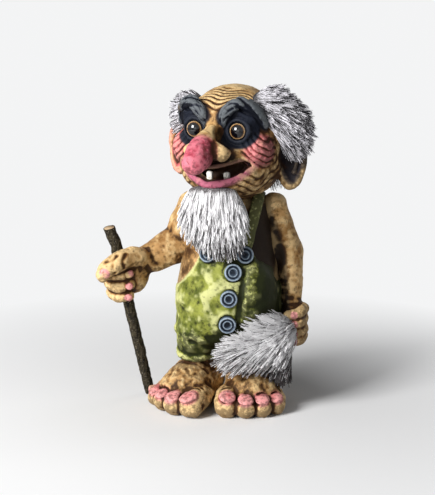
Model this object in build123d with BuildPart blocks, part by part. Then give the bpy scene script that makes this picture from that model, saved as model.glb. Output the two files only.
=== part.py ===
"""A barefoot folk troll in dungarees, leaning on a stick and holding its tufted tail.

Millimetres, +Z up, the figure facing -Y. The origin is the middle of its footprint on the floor.
Left and right are the troll's own.
"""

import os

from build123d import *

# Shared clearances
glue_gap = 0.15          # between a glued piece and its socket
sliding_gap = 0.35       # round the stick, which is drawn out of the fist
overrun = 4.0            # how far a cutting shape runs past what it cuts

# Where the figure stands: the body's own axis, seen from the middle of the footprint
body_axis_x = 14.58
body_axis_y = 13.32

# Trunk, from the fork of the trousers to the shoulders
trunk_bottom = 46.0
trunk_height = 118.0
trunk_half_width = 39.0
trunk_half_depth = 36.0
belly_lead = 5.0
cloth_thickness = 1.4
bib_top = 119.0
bib_half_width = 21.0
armhole_bottom = 90.0
armhole_sag = 5.0
chest_bottom = 80.0

# Trouser legs and their rolled hems
leg_height = 26.0
leg_half_width = 17.6
leg_half_depth = 21.0
hem_bottom = 35.0
hem_height = 8.5
leg_right_x = -20.4
leg_left_x = 19.6
leg_y = -5.0

# Feet
foot_half_width = 24.5
foot_half_height = 19.0
foot_reach = 38.0
toe_radius = 9.6
toe_row = 41.0
foot_right_turn = -30.0
foot_left_turn = 6.0
foot_right_x = -22.0
foot_left_x = 17.0
foot_y = -6.0
ankle_radius = 12.0
ankle_top = 46.0

# Straps and buttons
strap_thickness = 2.0
strap_width = 8.5
strap_foot_x = 13.5
strap_top_x = 23.0
strap_top_drop = 3.5     # from the top of the trunk down to where a strap stops leaning out
button_radius = 6.4
button_thickness = 4.0
button_rim = 1.3
button_dish_depth = 1.1
button_seat_depth = 1.0
button_hole_radius = 0.8
button_hole_spacing = 3.0
placket_buttons = ((5.6, 107.0), (3.0, 88.5), (2.0, 69.0))

# Head, whose heights are all measured up from its base, sunk between the shoulders
head_x = 3.5
head_y = -2.0
neck_sink = 7.0
head_base = trunk_bottom + trunk_height - neck_sink
head_height = 84.5
head_half_width = 39.5
head_half_depth = 37.5
jaw_lead = 6.0
head_turn = -20.0
crown_radius = 3.0
neck_radius = 11.0
neck_peg_length = 14.0

# Eyes, with their sockets, lids and brows
eye_radius = 7.8
eye_spread = 17.0
eye_lead = 28.0
eye_height = 54.0
socket_radius = 12.0
socket_lead = 39.5
lid_radius = 7.7
lid_thickness = 1.7
lid_lead = 3.0
ridge_half_width = 31.0
ridge_half_depth = 15.0
ridge_half_height = 13.0
ridge_lead = 21.0
ridge_height = 64.0
brow_thickness = 5.2
brow_lead = 30.5
brow_rise = 20.0

# Nose
nose_length = 44.0
nose_radius = 10.0
nose_tip_radius = 8.9
nose_root_lead = 28.0
nose_root_height = 57.5
nose_pitch = 30.0
nostril_radius = 7.2
nostril_spread = 11.5
nostril_lead = 39.0
nostril_height = 40.0

# Mouth, lips, muzzle and teeth
muzzle_half_width = 30.0
muzzle_half_depth = 20.0
muzzle_half_height = 16.0
muzzle_lead = 21.5
muzzle_height = 23.0
mouth_half_width = 27.5
mouth_corner_height = 31.0
mouth_top = 23.5
mouth_bottom = 16.5
mouth_floor_lead = 27.0
lip_radius = 3.0
lip_lead = 39.0
lip_corner_lead = 24.5
tooth_width = 5.2
tooth_height = 8.5
tooth_depth = 3.6
tooth_edge = 1.2
tooth_lead = 34.5
tooth_right_x = -3.0
tooth_left_x = 10.5
tooth_sink = 2.0

# Cheeks and ears
cheek_radius = 12.5
cheek_spread = 26.5
cheek_lead = 20.5
cheek_height = 39.5
ear_half_width = 12.5
ear_half_height = 23.5
ear_half_thickness = 6.5
ear_spread = 44.5
ear_lead = -3.0
ear_height = 31.0
ear_turn = 24.0
ear_rim = 3.2

# Hair and beard, as the space that the fur fills
hair_spread = 28.0
hair_root_height = 66.0
tuft_flat_share = 0.6
tuft_left_reach = 31.0
tuft_left_radius = 20.5
tuft_right_reach = 25.5
tuft_right_radius = 15.0
hair_band_thickness = 8.0
hair_band_bottom = 17.0
hair_band_top = 72.0
hair_band_front = 4.0
beard_half_width = 27.0
beard_half_depth = 12.5
beard_bottom = 119.0
beard_overlap = 14.0     # how far the beard goes up in front of the head's base
beard_x = -7.0
beard_y = -36.0

# Arms
left_arm_radius = 10.8
left_shoulder = (35.0, 1.0, 150.0)
left_elbow = (48.5, 2.0, 115.0)
left_wrist = (49.5, -6.0, 78.0)
right_arm_radius = 14.0
right_shoulder = (-27.0, 2.0, 149.0)
right_elbow = (-36.0, 1.0, 121.0)
right_wrist = (-66.0, -13.0, 108.5)

# Stick, and the fist that closes round it
stick_radius = 4.5
stick_foot_radius = 4.0
stick_length = 141.0
stick_foot_x = -62.0
stick_foot_y = 3.0
stick_foot_height = 1.2
stick_lean_x = -24.0
stick_lean_y = -28.0
stick_lean_height = 136.0
fist_way = 97.0
finger_radius = 5.5
finger_pitch = 9.2
finger_count = 3
finger_start = 35.0
finger_sweep = 275.0
finger_grip = 0.6
finger_pad = 0.5
palm_offset = 8.5
palm_half_width = 12.5
palm_half_depth = 13.5
palm_half_height = 17.0
palm_rise = 4.0
thumb_radius = 8.0
thumb_root = (-66.0, -20.0, 113.0)
thumb_knuckle = (-79.0, -34.5, 115.0)
thumb_tip = (-93.0, -34.0, 103.0)

# Left hand, tail and the plume at the tail's end
hand_half_width = 9.0
hand_half_depth = 12.0
hand_half_height = 12.5
hand_at = (51.0, -9.0, 67.0)
hand_finger_radius = 4.6
hand_finger_pitch = 7.2
tail_radius = 4.2
tail_root = (8.0, 28.0, 62.0)
tail_low = (32.0, 36.0, 47.0)
tail_side = (50.0, 20.0, 52.0)
tail_grip = (50.0, -4.0, 63.0)
plume_radius = 20.0
plume_flat_share = 0.55
plume_root = (48.0, -12.0, 61.0)
plume_heel = (41.0, -23.0, 51.0)
plume_tip = (3.0, -46.0, 45.0)

os.makedirs("parts", exist_ok=True)

figure = Plane((body_axis_x, body_axis_y, 0))

# Cross-sections of a ball of radius 1, flattened at its poles: (height, radius) as shares
ball_shares = (
    (-0.98, 0.20),
    (-0.81, 0.59),
    (-0.47, 0.88),
    (0.0, 1.0),
    (0.47, 0.88),
    (0.81, 0.59),
    (0.98, 0.20),
)
with BuildPart() as unit_ball:
    for ball_height, ball_radius in ball_shares:
        with BuildSketch(Plane.XY.offset(ball_height)):
            Circle(ball_radius)
    loft()


class Ellipsoid(BasePartObject):
    """A ball stretched to three radii."""

    def __init__(self, x_radius, y_radius, z_radius, rotation=(0, 0, 0), mode=Mode.ADD):
        stretched = unit_ball.part.scale((x_radius, y_radius, z_radius))
        super().__init__(part=stretched, rotation=rotation, mode=mode)


def spot(frame, place, turns=(0, 0, 0)):
    """A place and turn in one of the figure's frames, such as the head's own."""
    return frame.location * Location(place, turns)


def along(start, end, share):
    """The point at a share of the way from start to end."""
    return Vector(*start) + (Vector(*end) - Vector(*start)) * share


def limb_sections(frame, stations, radius, side, flat_share=1.0):
    """Ellipses square to a path. A station is a point of the path and its share of the radius."""
    points = [frame.from_local_coords(Vector(*point)) for point, share in stations]
    side_way = frame.from_local_coords(Vector(*side)) - frame.origin
    sections = []
    for index, (point, share) in enumerate(stations):
        ahead = points[min(index + 1, len(points) - 1)]
        behind = points[max(index - 1, 0)]
        heading = (ahead - behind).normalized()
        across = side_way - heading * side_way.dot(heading)
        with BuildSketch(Plane(points[index], x_dir=across, z_dir=heading)) as section:
            Ellipse(radius * share, radius * share * flat_share)
        sections.append(section.sketch)
    return sections


# Trunk outline as shares of the trunk's sizes: (height, half width, half depth, lead of the belly)
trunk_shares = (
    (0.00, 0.62, 0.58, 0.3),
    (0.08, 0.88, 0.84, 0.5),
    (0.20, 0.98, 0.97, 0.9),
    (0.34, 1.00, 1.00, 1.0),
    (0.48, 0.95, 0.96, 0.8),
    (0.64, 0.87, 0.86, 0.3),
    (0.80, 0.83, 0.75, -0.1),
    (0.92, 0.77, 0.63, -0.3),
    (1.00, 0.45, 0.40, -0.3),
)


def trunk_sections(growth):
    """The trunk's cross-sections, grown outwards by the same thickness."""
    sections = []
    for height, width, depth, lead in trunk_shares:
        level = trunk_bottom + height * (trunk_height + growth)
        with BuildSketch(figure.offset(level)) as section:
            with Locations((0, -lead * belly_lead)):
                Ellipse(width * trunk_half_width + growth, depth * trunk_half_depth + growth)
        sections.append(section.sketch)
    return sections


# Trouser leg above the hem: (height, half width, half depth) as shares
leg_shares = ((0.0, 0.94, 0.92), (0.5, 1.00, 1.02), (1.0, 0.98, 1.08))
# Rolled hem: (height, width) as shares
hem_shares = ((0.0, 0.94), (0.3, 1.04), (0.7, 1.04), (1.0, 0.95))

# The bare trunk, which the arms and straps are cut against
with BuildPart() as trunk_core:
    loft(trunk_sections(0))

# Trousers' belly, seat and bib, with the outline seen from the front cut round the armholes
with BuildPart() as bib_body:
    loft(trunk_sections(cloth_thickness))
    with BuildSketch(Plane(figure.origin, x_dir=(1, 0, 0), z_dir=(0, -1, 0))):
        outer = trunk_half_width + overrun
        with BuildLine():
            Polyline((-outer, armhole_bottom), (-outer, 0), (outer, 0), (outer, armhole_bottom))
            SagittaArc((outer, armhole_bottom), (bib_half_width, bib_top), -armhole_sag)
            Line((bib_half_width, bib_top), (-bib_half_width, bib_top))
            SagittaArc((-bib_half_width, bib_top), (-outer, armhole_bottom), -armhole_sag)
        make_face()
    extrude(amount=trunk_half_depth + belly_lead + overrun, both=True, mode=Mode.INTERSECT)

# Trouser legs with their rolled hems
with BuildPart() as trouser_legs:
    for leg_x in (leg_right_x, leg_left_x):
        for height, width, depth in leg_shares:
            level = hem_bottom + hem_height / 2 + height * leg_height
            with BuildSketch(figure.offset(level)):
                with Locations((leg_x, leg_y)):
                    Ellipse(width * leg_half_width, depth * leg_half_depth)
        loft()
        for height, width in hem_shares:
            with BuildSketch(figure.offset(hem_bottom + height * hem_height)):
                with Locations((leg_x, leg_y)):
                    Ellipse(width * leg_half_width, width * leg_half_depth)
        loft()


def trunk_size(level):
    """The trunk's half width, half depth and lead at a level, between the nearest sections."""
    share = (level - trunk_bottom) / trunk_height
    for lower, upper in zip(trunk_shares, trunk_shares[1:]):
        if share <= upper[0]:
            break
    mix = (share - lower[0]) / (upper[0] - lower[0])
    width, depth, lead = (low + (high - low) * mix for low, high in zip(lower[1:], upper[1:]))
    return width * trunk_half_width, depth * trunk_half_depth, lead * belly_lead


def button_seat(button_x, button_height):
    """The plane that a button lies on, a named depth under the cloth and square to it."""
    half_width, half_depth, lead = trunk_size(button_height)
    above = trunk_size(button_height + button_radius)
    below = trunk_size(button_height - button_radius)
    slope = (above[1] + above[2] - below[1] - below[2]) / (2 * button_radius)
    reach = half_depth * (1 - (button_x / half_width) ** 2) ** 0.5 + lead
    surface = figure.from_local_coords(Vector(button_x, -reach - cloth_thickness, button_height))
    outward = Vector(button_x / half_width, -1, slope).normalized()
    return Plane(surface - outward * button_seat_depth, x_dir=(1, 0, 0), z_dir=outward)


button_places = {
    "button_right": (-strap_foot_x, bib_top),
    "button_left": (strap_foot_x, bib_top),
    "button_upper": placket_buttons[0],
    "button_middle": placket_buttons[1],
    "button_lower": placket_buttons[2],
}
button_seats = {name: button_seat(*place) for name, place in button_places.items()}

# Shallow round seats that the buttons are glued into
with BuildPart() as button_pockets:
    for seat in button_seats.values():
        with BuildSketch(seat):
            Circle(button_radius + glue_gap)
        extrude(amount=button_thickness + overrun)

# Overalls: belly, seat, bib, trouser legs and rolled hems
with BuildPart() as overalls:
    add(bib_body.part)
    add(trouser_legs.part)
    add(button_pockets.part, mode=Mode.SUBTRACT)
    # sockets in the trouser legs for the ankles
    for ankle_x in (foot_right_x, foot_left_x):
        with BuildSketch(figure.offset(hem_bottom)):
            with Locations((ankle_x, foot_y)):
                Circle(ankle_radius + glue_gap)
        extrude(amount=ankle_top + glue_gap - hem_bottom, mode=Mode.SUBTRACT)
overalls.part.label = "overalls"

# Head, drawn in its own turned plane: the local -Y is the way that the face looks
head_seat = figure.from_local_coords((head_x, head_y, head_base))
head_plane = Plane(head_seat).rotated((0, 0, head_turn))
# (height, half width, half depth, lead of the jaw) as shares
skull_shares = (
    (0.00, 0.36, 0.40, 1.0),
    (0.06, 0.62, 0.66, 1.0),
    (0.20, 0.86, 0.90, 0.8),
    (0.36, 0.99, 1.00, 0.4),
    (0.52, 1.00, 1.00, 0.0),
    (0.66, 0.94, 0.96, -0.2),
    (0.80, 0.82, 0.86, -0.2),
    (0.90, 0.60, 0.64, -0.2),
    (0.96, 0.36, 0.40, -0.2),
)


def skull_sections(growth):
    """The skull's cross-sections up to the bald crown, grown outwards by the same thickness."""
    sections = []
    for height, width, depth, lead in skull_shares:
        with BuildSketch(head_plane.offset(height * head_height)) as section:
            with Locations((0, -lead * jaw_lead)):
                Ellipse(width * head_half_width + growth, depth * head_half_depth + growth)
        sections.append(section.sketch)
    with BuildSketch(head_plane.offset(head_height + growth)) as crown:
        Circle(crown_radius)
    sections.append(crown.sketch)
    return sections


# Nose sections: (way along, half width, half height, rise) as shares of its length and radius
nose_shares = (
    (0.00, 0.62, 0.70, 0.00),
    (0.30, 0.78, 0.84, 0.02),
    (0.60, 0.98, 0.98, 0.06),
    (0.82, 0.98, 0.94, 0.00),
    (0.94, 0.86, 0.80, -0.08),
)
nose_plane = Plane(
    head_plane.location
    * Location((0, -nose_root_lead, nose_root_height), (90 + nose_pitch, 0, 0))
)
head_middle = Plane(head_plane.origin, z_dir=head_plane.x_dir)
# Brow over one eye: (spread, lead, height above the eye, thickness) as shares
brow_shares = (
    (0.35, 1.08, 0.15, 0.60),
    (0.60, 1.14, 0.70, 0.95),
    (1.10, 1.04, 1.00, 1.05),
    (1.62, 0.80, 0.72, 0.95),
    (1.88, 0.55, 0.22, 0.60),
)
# Lip line from corner to corner: (spread, way forward, way down, thickness)
lip_shares = (
    (-1.0, 0.00, 0.00, 0.55),
    (-0.75, 0.62, 0.48, 0.9),
    (-0.40, 0.92, 0.86, 1.0),
    (0.0, 1.00, 1.00, 1.0),
    (0.40, 0.92, 0.86, 1.0),
    (0.75, 0.62, 0.48, 0.9),
    (1.0, 0.00, 0.00, 0.55),
)


def lip_stations(middle_height):
    """Places and thicknesses of one lip, which hangs between the corners of the mouth."""
    stations = []
    for spread, forward, down, thickness in lip_shares:
        lead = lip_corner_lead + forward * (lip_lead - lip_corner_lead)
        height = mouth_corner_height + down * (middle_height - mouth_corner_height)
        stations.append(((spread * mouth_half_width, -lead, height), thickness))
    return stations


with BuildPart() as brows:
    brow = [
        ((spread * eye_spread, -lead * brow_lead, eye_height + rise * brow_rise), thickness)
        for spread, lead, rise, thickness in brow_shares
    ]
    loft(limb_sections(head_plane, brow, brow_thickness, (0, 1, 0)))
    mirror(about=head_middle)

# Skull with the brow ridge, muzzle and cheeks that swell out of it
with BuildPart() as skull:
    loft(skull_sections(0))
    with Locations(spot(head_plane, (0, -ridge_lead, ridge_height))):
        Ellipsoid(ridge_half_width, ridge_half_depth, ridge_half_height)
    with Locations(spot(head_plane, (0, -muzzle_lead, muzzle_height))):
        Ellipsoid(muzzle_half_width, muzzle_half_depth, muzzle_half_height)
    for side in (-1, 1):
        with Locations(spot(head_plane, (side * cheek_spread, -cheek_lead, cheek_height))):
            Sphere(cheek_radius)

# Cupped ears that stand out from the sides
with BuildPart() as ears:
    for side in (-1, 1):
        ear_turns = (0, 0, side * ear_turn)
        with Locations(spot(head_plane, (side * ear_spread, -ear_lead, ear_height), ear_turns)):
            Ellipsoid(ear_half_width, ear_half_thickness, ear_half_height)
        cup = (side * (ear_spread + ear_rim / 2), -ear_lead - ear_half_thickness, ear_height)
        with Locations(spot(head_plane, cup, ear_turns)):
            Ellipsoid(
                ear_half_width - ear_rim,
                ear_half_thickness,
                ear_half_height - ear_rim,
                mode=Mode.SUBTRACT,
            )

with BuildPart() as head:
    add(skull.part)
    # hollow sockets under heavy brows
    for side in (-1, 1):
        with Locations(spot(head_plane, (side * eye_spread, -socket_lead, eye_height))):
            Sphere(socket_radius, mode=Mode.SUBTRACT)
    add(brows.part)
    # the long drooping nose and its wings
    for way, width, depth, rise in nose_shares:
        with BuildSketch(nose_plane.offset(way * nose_length)):
            with Locations((0, rise * nose_radius)):
                Ellipse(width * nose_radius, depth * nose_radius)
    loft()
    with Locations(spot(nose_plane, (0, rise * nose_radius, way * nose_length))):
        Sphere(nose_tip_radius)
    for side in (-1, 1):
        wing_at = (side * nostril_spread, -nostril_lead, nostril_height)
        with Locations(spot(head_plane, wing_at, (90, 0, 0))):
            Sphere(nostril_radius)
    # the grin, cut back to the floor of the mouth, and its lips
    with BuildSketch(
        Plane(
            head_plane.from_local_coords((0, -lip_lead - overrun, 0)),
            x_dir=head_plane.x_dir,
            z_dir=-head_plane.y_dir,
        )
    ):
        corner_left = (mouth_half_width, mouth_corner_height)
        corner_right = (-mouth_half_width, mouth_corner_height)
        with BuildLine():
            ThreePointArc(corner_right, (0, mouth_top), corner_left)
            ThreePointArc(corner_left, (0, mouth_bottom), corner_right)
        make_face()
    extrude(amount=-(lip_lead + overrun - mouth_floor_lead), mode=Mode.SUBTRACT)
    for middle_height in (mouth_top + lip_radius / 2, mouth_bottom):
        loft(limb_sections(head_plane, lip_stations(middle_height), lip_radius, (0, 0, 1)))
    add(ears.part)
    # rolled lids, then the pockets that the eyes are pushed into
    for side in (-1, 1):
        lid_at = (side * eye_spread, -eye_lead - lid_lead, eye_height)
        with Locations(spot(head_plane, lid_at, (90, 0, 0))):
            Torus(lid_radius, lid_thickness)
        with Locations(spot(head_plane, (side * eye_spread, -eye_lead, eye_height), (90, 0, 0))):
            Sphere(eye_radius + glue_gap, mode=Mode.SUBTRACT)
    # neck peg
    with BuildSketch(head_plane.offset(overrun)):
        Circle(neck_radius)
    extrude(amount=-neck_peg_length - overrun)
head.part.label = "head"

# Chest: the bare upper trunk, hollowed where the head sits on the shoulders
with BuildPart() as chest:
    add(trunk_core.part)
    with BuildSketch(figure):
        Rectangle(2 * (trunk_half_width + overrun), 2 * (trunk_half_depth + belly_lead + overrun))
    extrude(amount=chest_bottom, mode=Mode.SUBTRACT)
    add(bib_body.part, mode=Mode.SUBTRACT)
    add(skull.part, mode=Mode.SUBTRACT)
    with BuildSketch(head_plane.offset(overrun)):
        Circle(neck_radius + glue_gap)
    extrude(amount=-neck_peg_length - overrun - glue_gap, mode=Mode.SUBTRACT)
chest.part.label = "chest"

# Teeth: two pegs that stand in the lower lip
tooth_positions = {"tooth_right": tooth_right_x, "tooth_left": tooth_left_x}
teeth = {}
for name, tooth_x in tooth_positions.items():
    with BuildPart() as tooth:
        with BuildSketch(head_plane.offset(mouth_bottom - tooth_sink)):
            with Locations((tooth_x, -tooth_lead)):
                RectangleRounded(tooth_width, tooth_depth, tooth_edge)
        extrude(amount=tooth_height)
        fillet(tooth.faces().sort_by(Axis.Z)[-1].edges(), radius=tooth_edge)
        add(head.part, mode=Mode.SUBTRACT)
    tooth.part.label = name
    teeth[name] = tooth.part

# Eyes: glass balls pushed into the pockets
eyes = {}
for name, side in (("eye_right", -1), ("eye_left", 1)):
    with BuildPart() as eye:
        with Locations(spot(head_plane, (side * eye_spread, -eye_lead, eye_height))):
            Sphere(eye_radius)
    eye.part.label = name
    eyes[name] = eye.part

# Hair: the band round the back of the head, under the bald crown
with BuildPart() as hair_back:
    loft(skull_sections(hair_band_thickness))
    with BuildSketch(head_plane.offset(hair_band_bottom)):
        with Locations((0, head_half_depth + hair_band_front)):
            Rectangle(2 * (head_half_width + hair_band_thickness), 2 * head_half_depth)
    extrude(amount=hair_band_top - hair_band_bottom, mode=Mode.INTERSECT)
    add(skull.part, mode=Mode.SUBTRACT)
    add(ears.part, mode=Mode.SUBTRACT)
hair_back.part.label = "hair_back"

# Side tufts: (way out, way back, way down, thickness) as shares of their reach and radius
tuft_shares = (
    (0.00, -0.28, 0.00, 0.45),
    (0.22, -0.20, 0.06, 0.90),
    (0.55, -0.02, 0.30, 1.00),
    (0.82, 0.12, 0.60, 0.72),
    (1.00, 0.20, 0.86, 0.22),
)
tuft_sizes = {
    "hair_left": (1, tuft_left_reach, tuft_left_radius),
    "hair_right": (-1, tuft_right_reach, tuft_right_radius),
}
tufts = {}
for name, (side, reach, radius) in tuft_sizes.items():
    stations = [
        ((hair_spread + out * reach, back * reach, hair_root_height - down * reach), thickness)
        for out, back, down, thickness in tuft_shares
    ]
    with BuildPart() as tuft:
        loft(limb_sections(head_plane, stations, radius, (0, 0, 1), tuft_flat_share))
        if side < 0:
            mirror(about=head_middle, mode=Mode.REPLACE)
        for neighbour in (skull.part, ears.part, brows.part, hair_back.part):
            add(neighbour, mode=Mode.SUBTRACT)
    tuft.part.label = name
    tufts[name] = tuft.part


# Upper arms before they are cut, which the straps keep clear of
right_arm_stations = (
    (right_shoulder, 0.88),
    (along(right_shoulder, right_elbow, 0.5), 1.00),
    (right_elbow, 1.04),
    (along(right_elbow, right_wrist, 0.5), 0.92),
    (right_wrist, 0.80),
    (along(right_elbow, right_wrist, 1.25), 0.50),
)
left_arm_stations = (
    (left_shoulder, 0.92),
    (along(left_shoulder, left_elbow, 0.5), 0.90),
    (left_elbow, 1.00),
    (along(left_elbow, left_wrist, 0.6), 0.86),
    (left_wrist, 0.72),
)
with BuildPart() as right_arm_core:
    loft(limb_sections(figure, right_arm_stations, right_arm_radius, (0, 1, 0)))
    with Locations(spot(figure, right_shoulder)):
        Sphere(right_arm_radius)
with BuildPart() as left_arm_core:
    loft(limb_sections(figure, left_arm_stations, left_arm_radius, (1, 0, 0)))
    with Locations(spot(figure, left_shoulder)):
        Sphere(left_arm_radius)

# Straps: bands that hug the shoulders from the front of the bib to its back
strap_turn_height = trunk_bottom + trunk_height - strap_top_drop
strap_end_height = trunk_bottom + trunk_height + cloth_thickness + strap_thickness + overrun
strap_cuts = (
    trunk_core.part,
    bib_body.part,
    skull.part,
    button_pockets.part,
    right_arm_core.part,
    left_arm_core.part,
)
straps = {}
for name, side in (("strap_right", -1), ("strap_left", 1)):
    with BuildPart() as strap:
        loft(trunk_sections(cloth_thickness + strap_thickness))
        with BuildSketch(Plane(figure.origin, x_dir=(1, 0, 0), z_dir=(0, -1, 0))):
            with BuildLine():
                Polyline(
                    (side * (strap_foot_x - strap_width / 2), bib_top),
                    (side * (strap_foot_x + strap_width / 2), bib_top),
                    (side * (strap_top_x + strap_width / 2), strap_turn_height),
                    (side * (strap_top_x + strap_width / 2), strap_end_height),
                    (side * (strap_top_x - strap_width / 2), strap_end_height),
                    (side * (strap_top_x - strap_width / 2), strap_turn_height),
                    close=True,
                )
            make_face()
        extrude(amount=trunk_half_depth + belly_lead + overrun, both=True, mode=Mode.INTERSECT)
        for neighbour in strap_cuts:
            add(neighbour, mode=Mode.SUBTRACT)
    strap.part.label = name
    straps[name] = strap.part

# Buttons: dished discs with a rim and two thread holes
with BuildPart() as button_blank:
    with BuildSketch(Plane.XZ):
        dish_radius = button_radius - button_rim
        rim_base = button_thickness - button_rim / 2
        dish_base = button_thickness - button_dish_depth
        with BuildLine():
            Polyline((0, 0), (button_radius, 0), (button_radius, rim_base))
            ThreePointArc(
                (button_radius, rim_base),
                (button_radius - button_rim / 2, button_thickness),
                (dish_radius, rim_base),
            )
            Polyline((dish_radius, rim_base), (dish_radius, dish_base), (0, dish_base), (0, 0))
        make_face()
    revolve(axis=Axis.Z)
    with BuildSketch(Plane.XY.offset(button_thickness)):
        with Locations((-button_hole_spacing / 2, 0), (button_hole_spacing / 2, 0)):
            Circle(button_hole_radius)
    extrude(amount=-button_thickness / 2, mode=Mode.SUBTRACT)

buttons = {}
for name, seat in button_seats.items():
    with BuildPart() as button:
        add(seat.location * button_blank.part)
    button.part.label = name
    buttons[name] = button.part

# Beard: (height, aside, back, half width, half depth) as shares, from the tip up to the lower lip
beard_shares = (
    (0.00, 0.30, 0.02, 0.18, 0.22),
    (0.14, 0.20, 0.02, 0.52, 0.62),
    (0.36, 0.05, 0.02, 0.88, 0.95),
    (0.60, -0.05, 0.00, 1.00, 1.00),
    (0.82, -0.08, -0.02, 0.92, 0.90),
    (1.00, -0.10, -0.06, 0.74, 0.70),
)
beard_clearance = cloth_thickness + strap_thickness + button_thickness - button_seat_depth
beard_length = head_base + beard_overlap - beard_bottom
with BuildPart() as beard:
    for height, aside, back, width, depth in beard_shares:
        with BuildSketch(figure.offset(beard_bottom + height * beard_length)):
            with Locations((beard_x + aside * beard_half_width, beard_y + back * beard_half_width)):
                Ellipse(width * beard_half_width, depth * beard_half_depth)
    loft()
    loft(trunk_sections(beard_clearance), mode=Mode.SUBTRACT)
    add(skull.part, mode=Mode.SUBTRACT)
    loft(
        limb_sections(head_plane, lip_stations(mouth_bottom), lip_radius, (0, 0, 1)),
        mode=Mode.SUBTRACT,
    )
beard.part.label = "beard"

# Stick: a straight twig, a little thicker at the top, drawn in its own plane along its lean
stick_plane = Plane(
    figure.from_local_coords((stick_foot_x, stick_foot_y, stick_foot_height)),
    x_dir=(1, 0, 0),
    z_dir=(stick_lean_x, stick_lean_y, stick_lean_height),
)
with BuildPart() as walking_stick:
    for way, radius in ((0, stick_foot_radius), (stick_length, stick_radius)):
        with BuildSketch(stick_plane.offset(way)):
            Circle(radius)
    loft()
walking_stick.part.label = "walking_stick"

# Right arm: the upper arm hangs, the forearm reaches forward to the stick
thumb_stations = (
    (thumb_root, 0.95),
    (along(thumb_root, thumb_knuckle, 0.6), 1.0),
    (thumb_knuckle, 1.0),
    (along(thumb_knuckle, thumb_tip, 0.7), 0.92),
    (thumb_tip, 0.45),
)
grip_radius = stick_radius + sliding_gap + finger_radius - finger_grip
with BuildPart() as arm_right:
    add(right_arm_core.part)
    add(trunk_core.part, mode=Mode.SUBTRACT)
    add(bib_body.part, mode=Mode.SUBTRACT)
    with Locations(spot(stick_plane, (palm_offset, palm_offset / 2, fist_way + palm_rise))):
        Ellipsoid(palm_half_width, palm_half_depth, palm_half_height)
    # three fingers curl right round the stick, one above the other
    for finger in range(finger_count):
        height = fist_way + ((finger_count - 1) / 2 - finger) * finger_pitch
        with Locations(spot(stick_plane, (0, 0, height), (0, 0, finger_start))):
            Torus(grip_radius, finger_radius, major_angle=finger_sweep)
        finger_end = spot(stick_plane, (0, 0, height), (0, 0, finger_start + finger_sweep))
        with Locations(finger_end * Location((grip_radius, 0, 0))):
            Sphere(finger_radius + finger_pad)
    # the thumb lies over them
    loft(limb_sections(figure, thumb_stations, thumb_radius, (0, 1, 0)))
    # the bore that the stick slides in
    with BuildSketch(stick_plane):
        Circle(stick_radius + sliding_gap)
    extrude(amount=stick_length + overrun, mode=Mode.SUBTRACT)
arm_right.part.label = "arm_right"

# Left arm: hangs straight, its hand closed on the end of the tail
with BuildPart() as hand_left:
    with Locations(spot(figure, hand_at)):
        Ellipsoid(hand_half_width, hand_half_depth, hand_half_height)
    for finger in (1, 0, -1):
        knuckle = (hand_half_width / 2, -hand_finger_radius, finger * hand_finger_pitch)
        with Locations(spot(figure, Vector(*hand_at) + Vector(*knuckle))):
            Ellipsoid(hand_finger_radius, 2 * hand_finger_radius, hand_finger_radius)
with BuildPart() as arm_left:
    add(left_arm_core.part)
    add(trunk_core.part, mode=Mode.SUBTRACT)
    add(bib_body.part, mode=Mode.SUBTRACT)
    add(hand_left.part)
arm_left.part.label = "arm_left"

# Foot: (way forward, half width, half height, middle height) as shares
foot_shares = (
    (-0.55, 0.38, 0.45, 0.46),
    (-0.36, 0.64, 0.86, 0.72),
    (0.00, 0.74, 1.08, 0.90),
    (0.42, 0.92, 0.84, 0.70),
    (0.80, 1.00, 0.62, 0.55),
    (1.02, 0.90, 0.40, 0.42),
)
# Toe: (way across, way forward, size) as shares, the big toe on the inner side
toe_shares = ((-0.82, 1.03, 1.00), (-0.27, 1.05, 0.86), (0.26, 0.97, 0.80), (0.76, 0.80, 0.74))
toe_stretch = 1.2
toe_sink_share = 0.92
foot_places = {
    "foot_right": (-1, foot_right_x, foot_right_turn),
    "foot_left": (1, foot_left_x, foot_left_turn),
}
with BuildPart() as foot_blank:
    for way, width, height, middle in foot_shares:
        with BuildSketch(
            Plane((0, -way * foot_reach, middle * foot_half_height), x_dir=(1, 0, 0), z_dir=(0, -1, 0))
        ):
            Ellipse(width * foot_half_width, height * foot_half_height)
    loft()
    for across, ahead, size in toe_shares:
        radius = size * toe_radius
        with Locations((-across * foot_half_width, -ahead * toe_row, toe_sink_share * radius)):
            Ellipsoid(radius, toe_stretch * radius, radius)
    # the soles are flat on the floor, and the hems rest on the insteps
    split(bisect_by=Plane.XY, keep=Keep.TOP)
    split(bisect_by=Plane.XY.offset(hem_bottom), keep=Keep.BOTTOM)
    with BuildSketch(Plane.XY.offset(hem_bottom)):
        Circle(ankle_radius)
    extrude(amount=ankle_top - hem_bottom)
feet = {}
for name, (side, foot_x, turn) in foot_places.items():
    foot_plane = Plane(figure.from_local_coords((foot_x, foot_y, 0))).rotated((0, 0, turn))
    with BuildPart() as foot:
        add(foot_blank.part)
        if side > 0:
            mirror(about=Plane.YZ, mode=Mode.REPLACE)
    feet[name] = foot_plane.location * foot.part
    feet[name].label = name

# Tail: from the seat, round the left hip, into the left hand
tail_stations = (
    (tail_root, 1.2),
    (along(tail_root, tail_low, 0.6), 1.05),
    (tail_low, 1.0),
    (tail_side, 0.95),
    (tail_grip, 0.9),
)
with BuildPart() as tail:
    loft(limb_sections(figure, tail_stations, tail_radius, (0, 0, 1)))
    add(bib_body.part, mode=Mode.SUBTRACT)
    add(hand_left.part, mode=Mode.SUBTRACT)
tail.part.label = "tail"

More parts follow.
